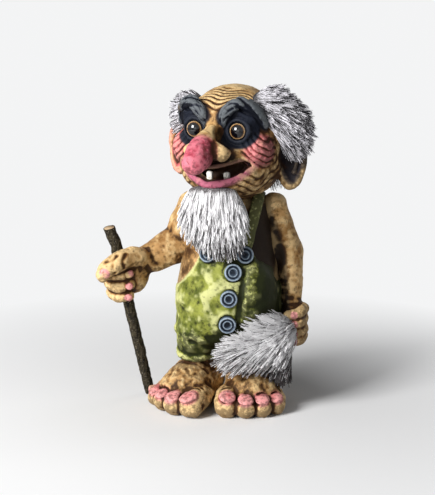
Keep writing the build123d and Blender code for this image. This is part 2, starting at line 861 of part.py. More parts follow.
# Plume of fur at the tail's end
plume_stations = (
    (plume_root, 0.42),
    (plume_heel, 0.98),
    (along(plume_heel, plume_tip, 0.35), 1.05),
    (along(plume_heel, plume_tip, 0.70), 0.72),
    (plume_tip, 0.20),
)
with BuildPart() as tail_plume:
    loft(limb_sections(figure, plume_stations, plume_radius, (0, 0, 1), plume_flat_share))
    for neighbour in (bib_body.part, trouser_legs.part, hand_left.part, feet["foot_left"]):
        add(neighbour, mode=Mode.SUBTRACT)
tail_plume.part.label = "tail_plume"

pieces = [
    overalls.part,
    chest.part,
    head.part,
    hair_back.part,
    beard.part,
    walking_stick.part,
    arm_right.part,
    arm_left.part,
    tail.part,
    tail_plume.part,
    *teeth.values(),
    *eyes.values(),
    *tufts.values(),
    *straps.values(),
    *buttons.values(),
    *feet.values(),
]
for piece in pieces:
    export_step(piece, "parts/" + piece.label + ".step")
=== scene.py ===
# %% [markdown]
# # A folk troll, sculpted in code
#
# The real figure is a casting painted by hand, with glass eyes, glued fur and a real twig.
# The frame holds every piece at its true place and size. Each piece here stands for a piece
# of the frame and sits in the same space, so nothing has to be fitted afterwards.

# %% Load the frame
import math
from functools import partial

import bpy
import numpy as np
import openvdb
from mathutils import Euler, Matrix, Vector


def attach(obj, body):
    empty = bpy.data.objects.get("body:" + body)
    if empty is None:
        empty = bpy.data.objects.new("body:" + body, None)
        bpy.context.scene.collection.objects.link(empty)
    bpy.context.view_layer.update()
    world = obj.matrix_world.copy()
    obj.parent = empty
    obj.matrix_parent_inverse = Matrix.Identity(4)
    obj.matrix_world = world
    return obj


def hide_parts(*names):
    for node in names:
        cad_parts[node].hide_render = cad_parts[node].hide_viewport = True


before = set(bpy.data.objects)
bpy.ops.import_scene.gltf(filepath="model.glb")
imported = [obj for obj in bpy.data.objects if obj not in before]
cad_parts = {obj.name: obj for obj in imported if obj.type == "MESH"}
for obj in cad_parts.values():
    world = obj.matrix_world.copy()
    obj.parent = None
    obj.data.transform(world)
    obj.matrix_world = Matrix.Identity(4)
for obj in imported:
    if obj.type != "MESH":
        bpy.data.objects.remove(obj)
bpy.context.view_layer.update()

# %% [markdown]
# ## Where things are
#
# All shaping is done in millimetres, measured from the troll's own middle line. The middle
# line does not stand on the frame's origin, because the stick and the elbow reach out to one
# side. So every finished piece is moved by the same small step and then written in metres.

# %% Places
metre = 0.001
body_axis = np.array([14.58, 13.32, 0.0])
origin = (0.0, 0.0, 0.0)
sides = (-1, 1)  # the troll's right and left


def turned(points, place=origin, turn=0.0):
    """Points of a piece's own space, turned about its upright and moved to their place."""
    angle = math.radians(turn)
    across = points[:, 0] * math.cos(angle) - points[:, 1] * math.sin(angle)
    back = points[:, 0] * math.sin(angle) + points[:, 1] * math.cos(angle)
    return np.stack([across, back, points[:, 2]], 1) + np.array(place)


def in_frame(points):
    """Millimetres from the troll's middle line, as metres in the shared frame."""
    return (points + body_axis) * metre


def new_object(name, data):
    """An object in the scene, for a mesh, a lamp or a camera."""
    made = bpy.data.objects.new(name, data)
    bpy.context.scene.collection.objects.link(made)
    return made


def looking(place, target):
    """The turn of a camera or lamp at a place that looks at a target."""
    return (Vector(target) - Vector(place)).to_track_quat("-Z", "Y").to_euler()


print("middle line at", body_axis * metre)

# %% [markdown]
# ## The camera
#
# A long lens from about a metre away and a little above, as a product photograph is taken.

# %% Camera
camera_data = bpy.data.cameras.new("photo_camera")
camera_data.lens = 93.96
camera_data.sensor_width = 36
camera_data.clip_start = 0.01
camera = new_object("photo_camera", camera_data)
bpy.context.scene.camera = camera
camera_place = in_frame(np.array([74.29, -951.23, 321.10]))
camera_target = in_frame(np.array([-10.96, 23.19, 113.18]))
camera.location = camera_place
camera.rotation_euler = looking(camera_place, camera_target)
print("camera stands at", np.round(camera_place, 3))

# %% [markdown]
# ## Light and floor
#
# A large soft lamp at the upper left makes the main light, as the highlights in the eyes
# show. Weak ones from the front and the right and a dim world keep the shadows open, and one
# from behind draws the edge of the fur. The floor is pale and keeps the troll's shadow.

# %% Lamps
chest_height = (0.0, 0.0, 0.13)
lamps = {
    "key_lamp": ((-0.74, -0.80, 0.64), 0.50, 23.0),
    "fill_lamp": ((0.95, -0.75, 0.40), 0.8, 0.25),
    "front_lamp": ((-0.25, -1.15, 0.32), 0.5, 1.2),
    "rim_lamp": ((0.75, 0.60, 0.55), 0.5, 1.6),
}
for name, (place, size, power) in lamps.items():
    lamp = bpy.data.lights.new(name, "AREA")
    lamp.shape, lamp.size, lamp.energy = "SQUARE", size, power
    stand = new_object(name, lamp)
    stand.location = place
    stand.rotation_euler = looking(place, chest_height)
print("lamps:", list(lamps))

# %% [markdown]
# Paint and light are made of nodes. A few short helpers keep the node code readable: one
# adds a node, and three do sums with the values that run between nodes.

# %% Nodes made short


def feed(tree, node, sources):
    """Gives sockets of a node their sources: another socket, a number or a colour."""
    for socket, source in sources.items():
        if isinstance(source, (int, float, tuple)):
            node.inputs[socket].default_value = source
        else:
            tree.links.new(source, node.inputs[socket])


def add_node(tree, kind, links=(), **values):
    """Adds a node, sets its options and inputs, and links sockets into it."""
    prefixed = kind.startswith(("Node", "Geometry", "Function"))
    node = tree.nodes.new(kind if prefixed else "ShaderNode" + kind)
    for key, value in values.items():
        if hasattr(node, key):
            setattr(node, key, value)
        else:
            node.inputs[key.replace("_", " ")].default_value = value
    feed(tree, node, dict(links))
    return node


def maths(tree, operation, first, second):
    """Two values put together by a Math node."""
    return add_node(tree, "Math", {0: first, 1: second}, operation=operation).outputs[0]


def sums(tree):
    """Plus, minus and times for the values of one node tree."""
    return [partial(maths, tree, operation) for operation in ("ADD", "SUBTRACT", "MULTIPLY")]


def emptied(owner):
    """The node tree of a world or a material, with nothing in it yet."""
    owner.use_nodes = True
    owner.node_tree.nodes.clear()
    return owner.node_tree


print("node helpers are ready")

# %% World and floor
pale_sky = (0.90, 0.905, 0.91, 1)
world = bpy.data.worlds.new("pale_world")
bpy.context.scene.world = world
tree = emptied(world)
ray = add_node(tree, "LightPath").outputs
seen = maths(tree, "MAXIMUM", ray["Is Camera Ray"], ray["Is Glossy Ray"])
seen = maths(tree, "MAXIMUM", seen, ray["Is Transmission Ray"])
dim = add_node(tree, "Background", Color=(0.93, 0.95, 1.0, 1), Strength=0.06)
bright = add_node(tree, "Background", Color=pale_sky, Strength=1.0)
shown = add_node(tree, "MixShader", {0: seen, 1: dim.outputs[0], 2: bright.outputs[0]})
add_node(tree, "OutputWorld", {0: shown.outputs[0]})

floor_half = 3.0
shadow_reach, floor_fades = 0.09, 0.36  # the floor turns into the background between these
floor_mesh = bpy.data.meshes.new("floor")
corners = [(x * floor_half, y * floor_half, 0) for x, y in ((-1, -1), (1, -1), (1, 1), (-1, 1))]
floor_mesh.from_pydata(corners, [], [(0, 1, 2, 3)])
floor = new_object("floor", floor_mesh)
floor_paint = bpy.data.materials.new("pale_floor")
tree = emptied(floor_paint)
where = add_node(tree, "NewGeometry").outputs["Position"]
distance = add_node(tree, "VectorMath", {0: where}, operation="LENGTH").outputs["Value"]
span = {"Value": distance, "From Min": shadow_reach, "From Max": floor_fades}
fade = add_node(tree, "MapRange", span).outputs[0]
fade = maths(tree, "MULTIPLY", fade, add_node(tree, "LightPath").outputs["Is Camera Ray"])
lit = add_node(tree, "BsdfDiffuse", Color=(0.88, 0.88, 0.88, 1))
glow = add_node(tree, "Emission", Color=pale_sky, Strength=1.0)
mixed = add_node(tree, "MixShader", {0: fade, 1: lit.outputs[0], 2: glow.outputs[0]})
add_node(tree, "OutputMaterial", {0: mixed.outputs[0]})
floor_mesh.materials.append(floor_paint)
print("floor spans", 2 * floor_half, "m")

# %% [markdown]
# ## Clay
#
# A sculptor presses lumps of clay together, digs out hollows and scratches lines. The same
# can be done with numbers: a grid holds, for each point, how far it lies outside the clay.
# Adding a lump takes the smaller distance, digging takes the larger one, and a soft blend
# between the two makes them flow into each other. The surface where the distance is zero
# becomes a mesh at the end. This suits a soft casting better than moving single faces.

# %% The block of clay
cell = 0.7  # the grid's pitch; the pieces below are multiples of it
head_cell, fur_cell, tooth_cell = cell * 1.06, cell * 1.5, cell / 2.5
far_outside = 40.0


def soft_min(first, second, blend):
    """The smaller of two distances, with a rounded transition as wide as blend."""
    if blend <= 0:
        return np.minimum(first, second)
    share = np.maximum(blend - np.abs(first - second), 0) / blend
    return np.minimum(first, second) - share * share * blend / 4


class Clay:
    """A block of clay in its own space: each grid point's distance outside the surface, in mm."""

    def __init__(self, low, high, cell):
        self.cell = cell
        self.low = np.array(low, float)
        steps = np.ceil((np.array(high) - self.low) / cell).astype(int) + 1
        self.axes = [self.low[k] + cell * np.arange(steps[k]) for k in range(3)]
        self.away = np.full(steps, far_outside, np.float32)

    def window(self, low, high):
        """The part of the grid inside a box, and the coordinates of its points."""
        cuts, coords = [], []
        for k in range(3):
            start, stop = np.searchsorted(self.axes[k], (low[k], high[k]))
            cuts.append(slice(start, stop))
            shape = [1, 1, 1]
            shape[k] = -1
            coords.append(self.axes[k][cuts[k]].astype(np.float32).reshape(shape))
        return tuple(cuts), coords

    def add(self, lump, blend=0.0):
        """Presses a lump on."""
        margin = blend + 2 * self.cell
        cuts, coords = self.window(lump.low - margin, lump.high + margin)
        self.away[cuts] = soft_min(self.away[cuts], lump.distance(*coords), blend)

    def cut(self, lump, blend=0.0):
        """Digs a lump's shape out."""
        margin = blend + 2 * self.cell
        cuts, coords = self.window(lump.low - margin, lump.high + margin)
        self.away[cuts] = -soft_min(-self.away[cuts], lump.distance(*coords), blend)

    def keep(self, outside, blend=0.0):
        """Cuts away all that lies outside a limit, given as a distance from x, y and z."""
        cuts, coords = self.window(self.low, self.low + self.cell * np.array(self.away.shape))
        limit = outside(*coords).astype(np.float32)
        self.away = -soft_min(-self.away, -limit, blend)

    def press(self, points, width, depth, thin=0.1):
        """Pushes the surface in along a line, or raises it where depth is negative."""
        line = Rope([(*point, thin) for point in points])
        margin = 3 * width
        cuts, coords = self.window(line.low - margin, line.high + margin)
        self.away[cuts] += depth * np.exp(-((line.distance(*coords) / width) ** 2))

    def shape(self, low, high, change):
        """Adds a change, a function of x, y and z, to the distance inside a box."""
        cuts, coords = self.window(np.array(low, float), np.array(high, float))
        self.away[cuts] += change(*coords).astype(np.float32)

    def rough(self, spacing, depth, seed):
        """Makes the whole surface uneven, with lumps about as wide as the spacing."""
        chance = np.random.default_rng(seed)
        counts = [int((axis[-1] - axis[0]) / spacing) + 4 for axis in self.axes]
        lumps = chance.standard_normal(counts).astype(np.float32)
        for k, axis in enumerate(self.axes):
            place = (axis - axis[0]) / spacing + 1
            base = np.floor(place).astype(int)
            share = place - base
            share = (share * share * (3 - 2 * share)).astype(np.float32)
            lumps = np.moveaxis(lumps, k, -1)
            lumps = lumps[..., base] * (1 - share) + lumps[..., base + 1] * share
            lumps = np.moveaxis(lumps, -1, k)
        self.away += depth * lumps

    def weigh(self, step_name):
        """Prints how much clay there is after a step."""
        cubic_cm = (self.away < 0).sum() * self.cell**3 * metre
        print(f"{step_name}: {cubic_cm:.1f} cubic centimetres of clay")


print("grid pitch:", cell, "mm")

# %% [markdown]
# ## Lumps
#
# Two kinds of lump make nearly everything: an egg, and a rope whose thickness changes along
# its way. A stack of ovals, like the rings of a barrel, makes the trunk and the trousers. A
# flat disc makes the bed that a button sits in.

# %% Eggs, ropes, stacks and discs


class Egg:
    """A stretched ball: its centre, three radii and how it is turned, in degrees."""

    def __init__(self, centre, radii, turn=origin):
        self.centre = np.array(centre, float)
        self.radii = np.ones(3) * radii
        self.matrix = np.array(Euler([math.radians(angle) for angle in turn]).to_matrix())
        self.low = self.centre - self.radii.max()
        self.high = self.centre + self.radii.max()

    def distance(self, x, y, z):
        offset = [x - self.centre[0], y - self.centre[1], z - self.centre[2]]
        ratio, slope = 0, 0
        for k in range(3):
            local = sum(self.matrix[j][k] * offset[j] for j in range(3))
            ratio = ratio + (local / self.radii[k]) ** 2
            slope = slope + (local / self.radii[k] ** 2) ** 2
        return np.sqrt(ratio) * (np.sqrt(ratio) - 1) / np.maximum(np.sqrt(slope), 1e-6)


def smooth_path(stations, pieces):
    """A smooth line through the stations, with several short pieces between each two."""
    stations = np.array(stations, float)
    ends = np.vstack([2 * stations[0] - stations[1], stations, 2 * stations[-1] - stations[-2]])
    path = []
    for before, start, stop, after in zip(ends, ends[1:], ends[2:], ends[3:]):
        straight = stop - before
        sag = 2 * before - 5 * start + 4 * stop - after
        twist = 3 * start - before - 3 * stop + after
        for share in np.arange(pieces) / pieces:
            path.append(0.5 * (2 * start + straight * share + sag * share**2 + twist * share**3))
    return np.array(path + [stations[-1]])


class Rope:
    """A rope through stations, each a point and a radius there."""

    def __init__(self, stations, pieces=6):
        self.path = smooth_path(stations, pieces)
        thickest = self.path[:, 3].max()
        self.low = self.path[:, :3].min(0) - thickest
        self.high = self.path[:, :3].max(0) + thickest

    def distance(self, x, y, z):
        nearest = None
        for start, stop in zip(self.path, self.path[1:]):
            way = stop[:3] - start[:3]
            px, py, pz = x - start[0], y - start[1], z - start[2]
            share = (px * way[0] + py * way[1] + pz * way[2]) / max(way @ way, 1e-9)
            share = np.clip(share, 0, 1)
            off = [(px - share * way[0]) ** 2, (py - share * way[1]) ** 2, (pz - share * way[2]) ** 2]
            gap = np.sqrt(off[0] + off[1] + off[2])
            gap -= start[3] + share * (stop[3] - start[3])
            nearest = gap if nearest is None else np.minimum(nearest, gap)
        return nearest


class Stack:
    """Ovals on each other: height, half width, half depth, middle across and middle back."""

    end_blend = 3.0

    def __init__(self, levels, growth=0.0):
        self.levels = np.array(levels, float)
        self.growth = growth
        reach = self.levels[:, 1:3].max(0) + growth
        middle = self.levels[:, 3:5]
        self.low = np.array([*(middle.min(0) - reach), self.levels[0, 0] - growth])
        self.high = np.array([*(middle.max(0) + reach), self.levels[-1, 0] + growth])

    def distance(self, x, y, z):
        heights = self.levels[:, 0]
        at = [np.interp(z.ravel(), heights, self.levels[:, k]).reshape(z.shape) for k in range(1, 5)]
        half_width, half_depth = at[0] + self.growth, at[1] + self.growth
        share = np.sqrt(((x - at[2]) / half_width) ** 2 + ((y - at[3]) / half_depth) ** 2)
        sideways = (share - 1) * np.minimum(half_width, half_depth)
        ends = np.maximum(heights[0] - self.growth - z, z - heights[-1] - self.growth)
        return -soft_min(-sideways, -ends, self.end_blend)


class Disc:
    """A flat plate: its foot, axis, radius, and where it starts and stops along the axis."""

    def __init__(self, foot, axis, radius, start, stop):
        self.foot = np.array(foot, float)
        self.axis = np.array(axis, float) / np.linalg.norm(axis)
        self.radius, self.start, self.stop = radius, start, stop
        self.low = self.foot - radius - abs(start) - abs(stop)
        self.high = self.foot + radius + abs(start) + abs(stop)

    def distance(self, x, y, z):
        offset = [x - self.foot[0], y - self.foot[1], z - self.foot[2]]
        along = sum(self.axis[k] * offset[k] for k in range(3))
        out = np.sqrt(np.maximum(sum(part**2 for part in offset) - along**2, 0))
        return np.maximum(out - self.radius, np.maximum(self.start - along, along - self.stop))


def step(low, high, value):
    """Rises softly from 0 to 1 while the value goes from low to high."""
    share = np.clip((value - low) / (high - low), 0, 1)
    return share * share * (3 - 2 * share)


def creases(phase, narrow):
    """Narrow lines, one for each whole number of the phase, with round ridges between them."""
    return np.exp(-((np.sin(np.pi * phase) / narrow) ** 2))


print("an egg, a rope, a stack and a disc are ready")

# %% [markdown]
# ## From clay to mesh
#
# The zero surface of the grid is turned into four-sided faces. Crumbs that came loose and
# bubbles left inside are dropped. Each point of the mesh also gets one number that a painter
# would see at once: how deep it lies in a fold, or how far it stands out. Blurring the clay
# and reading it at the surface gives that number: in a hollow the blurred clay is still
# inside, on a ridge it is already outside.

# %% Meshing
fine_blur, broad_blur = 2, 5
fine_depth, broad_depth = 0.32, 3.0


def blurred(field, reach):
    """The field averaged over a box of 2 * reach + 1 points each way, twice."""
    width = 2 * reach + 1
    for _ in range(2):
        for k in range(3):
            edges = [(reach + 1, reach) if j == k else (0, 0) for j in range(3)]
            total = np.cumsum(np.pad(field, edges, "edge"), axis=k)
            index = np.arange(field.shape[k])
            upper, lower = np.take(total, index + width, axis=k), np.take(total, index, axis=k)
            field = ((upper - lower) / width).astype(np.float32)
    return field


def read_field(clay, field, points):
    """A field's value at points between the grid points."""
    place = (points - clay.low) / clay.cell
    base = np.clip(np.floor(place).astype(int), 0, np.array(field.shape) - 2)
    share = np.clip(place - base, 0, 1)
    value = 0
    for corner in np.ndindex(2, 2, 2):
        weight = np.prod(np.where(corner, share, 1 - share), axis=1)
        value = value + weight * field[tuple((base + corner).T)]
    return value


def main_shell(points, quads):
    """Drops crumbs and closed bubbles: only the largest connected surface is kept."""
    label = np.arange(len(points))
    while True:
        lower = label.copy()
        np.minimum.at(lower, quads.ravel(), np.repeat(label[quads].min(1), 4))
        lower = lower[lower]
        if (lower == label).all():
            break
        label = lower
    kept = label == np.bincount(label).argmax()
    return points[kept], (np.cumsum(kept) - 1)[quads[kept[quads[:, 0]]]]


def meshed(name, points, faces):
    """A smooth mesh object in the frame, from points in millimetres."""
    mesh = bpy.data.meshes.new(name)
    mesh.from_pydata(in_frame(points), [], faces)
    mesh.polygons.foreach_set("use_smooth", np.ones(len(faces), bool))
    return new_object(name, mesh)


def mark(piece, **marks):
    """Stores one number for each point of a piece under each name, for its paint to read."""
    for name, values in marks.items():
        layer = piece.data.attributes.new(name, "FLOAT", "POINT")
        spread = np.broadcast_to(np.asarray(values, np.float32), len(piece.data.vertices))
        layer.data.foreach_set("value", np.ascontiguousarray(spread))


def fired(clay, name, place=origin, turn=0.0):
    """The clay's surface as an object in the frame. Returns it with its points in clay space."""
    grid = openvdb.FloatGrid(background=far_outside)
    grid.copyFromArray(clay.away)
    grid.transform = openvdb.createLinearTransform(voxelSize=clay.cell)
    points, quads = grid.convertToQuads(isovalue=0.0)
    points, quads = main_shell(points + clay.low, quads.astype(int))
    corners = points[quads]
    normals = np.cross(corners[:, 2] - corners[:, 0], corners[:, 3] - corners[:, 1])
    if (corners.mean(1) * normals).sum() < 0:
        quads = quads[:, ::-1]
    piece = meshed(name, turned(points, place, turn), quads)
    fine = read_field(clay, blurred(clay.away, fine_blur), points)
    broad = read_field(clay, blurred(clay.away, broad_blur), points)
    mark(piece, cavity=-fine / (fine_depth * clay.cell) - broad / (broad_depth * clay.cell))
    print(f"{name}: {len(points)} points, {len(quads)} faces")
    return piece, points


def near(points, lump, soft, strength=1.0):
    """Full strength inside a lump, fading to 0 over a soft edge outside it."""
    return strength * (1 - step(0, soft, lump.distance(*points.T)))


def strongest(*marks):
    """The largest of several marks at each point."""
    return np.max(marks, axis=0)


# %% [markdown]
# ## Paint
#
# The real castings are painted in steps: one plain colour, a dark thin wash that runs into
# every fold, then a light brush over what stands out. Here the wash in the folds is partly
# real wash and partly painted shade, and the light brush is partly dry brush and partly
# painted highlight. The "cavity" mark of each mesh tells the wash where the folds are, so
# the same three steps work for skin, cloth and buttons.

# %% Paint steps as node groups


def open_group(name, inputs, outputs):
    """An empty shader group with named sockets, and the values that come into it."""
    tree = bpy.data.node_groups.new(name, "ShaderNodeTree")
    for socket, value in inputs.items():
        kind = "Color" if isinstance(value, tuple) else "Float"
        made = tree.interface.new_socket(socket, in_out="INPUT", socket_type="NodeSocket" + kind)
        made.default_value = value
    for socket, kind in outputs.items():
        tree.interface.new_socket(socket, in_out="OUTPUT", socket_type="NodeSocket" + kind)
    return tree, add_node(tree, "NodeGroupInput").outputs


def mix_colours(tree, share, first, second):
    """One colour over another. A colour is a socket or three numbers."""
    first, second = ((*tone, 1) if isinstance(tone, tuple) else tone for tone in (first, second))
    return add_node(tree, "Mix", {0: share, 6: first, 7: second}, data_type="RGBA").outputs[2]


def ranged(tree, value, low, high):
    """0 up to low, 1 from high on, with a soft rise between."""
    links = {"Value": value, "From Min": low, "From Max": high}
    return add_node(tree, "MapRange", links, interpolation_type="SMOOTHSTEP").outputs[0]


def noise(tree, scale, detail=3.0, stretch=None):
    """Uneven patches, fixed to the object; the scale is in patches per metre."""
    vector = add_node(tree, "TexCoord").outputs["Object"]
    if stretch:
        vector = add_node(tree, "Mapping", {"Vector": vector}, Scale=stretch).outputs[0]
    made = add_node(tree, "TexNoise", {"Vector": vector}, Scale=scale, Detail=detail, Roughness=0.6)
    return made.outputs["Fac"]


brown, black = (0.05, 0.03, 0.01, 1), (0.05, 0.05, 0.05, 1)
casting_inputs = {"Paint": (0.5, 0.3, 0.1, 1), "Wash": brown, "Light": (0.9, 0.7, 0.4, 1)}
casting_inputs.update({"Cavity": 0.0, "Wash reach": 0.0, "Stain": 0.5, "Speckle": 0.5})
casting_outputs = {"Color": "Color", "Roughness": "Float", "Height": "Float"}
grain, blotches, stain_scale, speck_scale = 900.0, 90.0, 360.0, 2200.0  # patches per metre
casting, given = open_group("painted_casting", casting_inputs, casting_outputs)
plus, minus, times = sums(casting)
fine, broad = noise(casting, grain, 4.0), noise(casting, blotches)
uneven = plus(times(fine, 1.1), times(broad, 1.6))
# Painted shade: the wash deepens in folds, where it is partly real wash, and where a piece marks painted
# shade.
deep = plus(plus(given["Cavity"], minus(uneven, 1.35)), given["Wash reach"])
high = minus(times(fine, 0.9), plus(given["Cavity"], 0.45))
# Painted highlight: the light brush on raised parts is partly dry brush and partly painted highlight.
brush_and_highlight = times(ranged(casting, high, 0.15, 1.5), 0.7)
colour = mix_colours(casting, brush_and_highlight, given["Paint"], given["Light"])
# Stains are random, and more of them lie in painted shade.
stains_and_shade = plus(noise(casting, stain_scale, 6.0), times(given["Wash reach"], 0.3))
stains_and_shade = times(ranged(casting, stains_and_shade, 0.50, 0.70), given["Stain"])
colour = mix_colours(casting, stains_and_shade, colour, given["Wash"])
wash_and_shade = times(ranged(casting, deep, -0.25, 1.0), 0.95)
colour = mix_colours(casting, wash_and_shade, colour, given["Wash"])
specks = ranged(casting, noise(casting, speck_scale, 1.0), 0.66, 0.74)
colour = mix_colours(casting, times(specks, given["Speckle"]), colour, given["Wash"])
rough, height = plus(times(fine, 0.30), 0.42), plus(fine, times(specks, -0.4))
add_node(casting, "NodeGroupOutput", {"Color": colour, "Roughness": rough, "Height": height})

hair_inputs = {"Root": (0.1, 0.1, 0.1, 1), "Tip": (0.9, 0.9, 0.9, 1), "Dark": black}
hair_inputs.update({"Dark share": 0.2, "Along": 0.0, "Shade": 0.5, "Dusk": 0.0})
hairs, given = open_group("hair_by_hair", hair_inputs, {"Color": "Color", "Roughness": "Float"})
plus, minus, times = sums(hairs)
light = mix_colours(hairs, ranged(hairs, given["Along"], -0.15, 0.38), given["Root"], given["Tip"])
patchy = plus(given["Shade"], times(minus(noise(hairs, 110.0), 0.5), 0.9))
# Painted shade adds dark hairs.
darker = plus(given["Dark share"], times(given["Dusk"], 0.75))
is_dark = ranged(hairs, minus(darker, patchy), -0.06, 0.06)
colour = mix_colours(hairs, is_dark, light, given["Dark"])
rough = minus(0.62, times(given["Along"], 0.12))
add_node(hairs, "NodeGroupOutput", {"Color": colour, "Roughness": rough})
print("paint groups:", casting.name, hairs.name)

# %% [markdown]
# Wash also takes painted shade: more of it on what faces down, and in the places that each
# piece marks as painted shade, such as under the nose and between belly and arm. Rouge, lips,
# nails and the dark round the eyes are laid over the skin where its marks say so. The dark
# round the eyes is also laid as painted shade in the hollow of the left ear.

# %% The paints


def open_paint(name, **values):
    """A material with its surface shader, ready for links."""
    paint = bpy.data.materials.new(name)
    tree = emptied(paint)
    surface = add_node(tree, "BsdfPrincipled", **{"Specular_IOR_Level": 0.12, **values})
    add_node(tree, "OutputMaterial", {0: surface.outputs[0]})
    return paint, tree, surface


def marked(tree, name):
    """The numbers that a piece stored under a name."""
    return add_node(tree, "Attribute", attribute_name=name).outputs["Fac"]


def layered(tree, colour, layers):
    """A colour with others laid over it in turn, each where its mark is."""
    for name, tone in layers.items():
        colour = mix_colours(tree, marked(tree, name), colour, tone)
    return colour


def mottled(tree, scale, low, high, dark, light, detail=3.0):
    """A dark and a light tone of one colour in uneven patches."""
    return mix_colours(tree, ranged(tree, noise(tree, scale, detail), low, high), dark, light)


def painted_shade_depth(tree):
    """How much painted shade a place takes in its wash: where it is marked as painted shade, and more where
    it faces down.
    """
    plus, minus, times = sums(tree)
    normal = add_node(tree, "NewGeometry").outputs["Normal"]
    down = times(add_node(tree, "SeparateXYZ", {0: normal}).outputs["Z"], -1.0)
    return plus(marked(tree, "soaked"), times(ranged(tree, down, -0.1, 0.9), 0.6))


def cast_paint(name, sources, depth=0.12, **values):
    """A material that goes through the three steps of casting paint."""
    paint, tree, surface = open_paint(name)
    links = {key: source(tree) for key, source in sources.items()}
    links.update({"Cavity": marked(tree, "cavity"), "Wash reach": painted_shade_depth(tree)})
    steps = add_node(tree, "Group", links, node_tree=casting, **values).outputs
    bump = add_node(tree, "Bump", {"Height": steps["Height"]}, Strength=0.5, Distance=depth * metre)
    links = {"Base Color": steps["Color"], "Roughness": steps["Roughness"]}
    feed(tree, surface, {**links, "Normal": bump.outputs[0]})
    return paint


def skin_colour(tree):
    """Ochre with everything that is painted on it."""
    ochre = mottled(tree, 60.0, 0.35, 0.7, (0.29, 0.148, 0.048), (0.51, 0.30, 0.118))
    rouge = mottled(tree, 260.0, 0.38, 0.66, (0.33, 0.035, 0.060), (0.58, 0.105, 0.150), 4.0)
    layers = {"rouge": rouge, "nail": (0.66, 0.20, 0.20), "lip": (0.36, 0.085, 0.14)}
    # The dark round the eyes also serves as painted shade in the left ear.
    layers.update({"kohl": (0.006, 0.008, 0.016), "gullet": (0.010, 0.004, 0.006)})
    return layered(tree, ochre, layers)


def skin_light(tree):
    """The light brush over skin, partly dry brush and partly painted highlight: each painted part has its
    own.
    """
    kohl = layered(tree, (0.016, 0.019, 0.028), {"bristle": (0.15, 0.165, 0.175)})
    layers = {"rouge": (0.72, 0.22, 0.27), "nail": (0.85, 0.40, 0.38), "lip": (0.44, 0.13, 0.19)}
    layers.update({"kohl": kohl, "gullet": (0.03, 0.01, 0.01)})
    return layered(tree, (0.81, 0.59, 0.30), layers)


def skin_wash(tree):
    """Brown wash, near black where it is painted shade, and navy round the eyes and in the painted shade of
    the left ear.
    """
    soaked = ranged(tree, marked(tree, "soaked"), 0.6, 1.3)
    colour = mix_colours(tree, soaked, (0.034, 0.013, 0.005), (0.007, 0.004, 0.003))
    return layered(tree, colour, {"kohl": (0.003, 0.004, 0.008)})


moss = partial(mottled, scale=75.0, low=0.36, high=0.66, detail=7.0)
moss = partial(moss, dark=(0.065, 0.082, 0.010), light=(0.28, 0.30, 0.055))
slate = partial(mottled, scale=500.0, low=0.3, high=0.7)
slate = partial(slate, dark=(0.030, 0.045, 0.070), light=(0.08, 0.115, 0.16))
ivory = partial(mottled, scale=400.0, low=0.3, high=0.7)
ivory = partial(ivory, dark=(0.78, 0.74, 0.62), light=(0.90, 0.88, 0.80))
skin_sources = {"Paint": skin_colour, "Light": skin_light, "Wash": skin_wash}
paints = {
    "skin": cast_paint("painted_skin", skin_sources, 0.35, Stain=0.62, Speckle=0.5),
    "cloth": cast_paint(
        "painted_cloth",
        {"Paint": moss},
        Wash=(0.012, 0.015, 0.004, 1),
        Light=(0.63, 0.63, 0.28, 1),
        Stain=0.8,
        Speckle=0.6,
    ),
    "button": cast_paint(
        "slate_button",
        {"Paint": slate},
        Wash=(0.004, 0.005, 0.009, 1),
        Light=(0.42, 0.50, 0.58, 1),
        Stain=0.5,
        Speckle=0.8,
    ),
    "tooth": cast_paint(
        "ivory_tooth",
        {"Paint": ivory},
        0.03,
        Wash=(0.30, 0.20, 0.12, 1),
        Light=(0.95, 0.94, 0.90, 1),
        Speckle=0.1,
    ),
}

glass = {"Coat_Weight": 1.0, "Coat_Roughness": 0.03, "Specular_IOR_Level": 0.0}
paints["eye"], tree, surface = open_paint("amber_glass_eye", **glass)
plus, minus, times = sums(tree)
off_axis = plus(marked(tree, "iris"), times(minus(noise(tree, 1500.0), 0.5), 0.5))
ring = (0.002, 0.002, 0.003)
eye_rings = (
    (4.3, 5.0, (0.10, 0.035, 0.006)),
    (4.9, 5.3, (0.46, 0.29, 0.13)),
    (5.35, 5.8, (0.006, 0.006, 0.008)),
)
for start, stop, tone in eye_rings:
    ring = mix_colours(tree, ranged(tree, off_axis, start, stop), ring, tone)
feed(tree, surface, {"Base Color": ring, "Roughness": ranged(tree, off_axis, 3.0, 9.0)})

fur_colours = {
    "white_fur": ((0.46, 0.45, 0.46, 1), (1.0, 0.99, 1.0, 1), (0.10, 0.09, 0.09, 1), 0.16),
    "grey_fur": ((0.03, 0.027, 0.03, 1), (0.80, 0.78, 0.82, 1), (0.022, 0.020, 0.021, 1), 0.38),
}
for slot, tones in fur_colours.items():
    paints[slot], tree, surface = open_paint(slot)
    links = {name.capitalize(): marked(tree, name) for name in ("along", "shade", "dusk")}
    links.update(zip(("Root", "Tip", "Dark", "Dark share"), tones))
    steps = add_node(tree, "Group", links, node_tree=hairs).outputs
    feed(tree, surface, {"Base Color": steps["Color"], "Roughness": steps["Roughness"]})

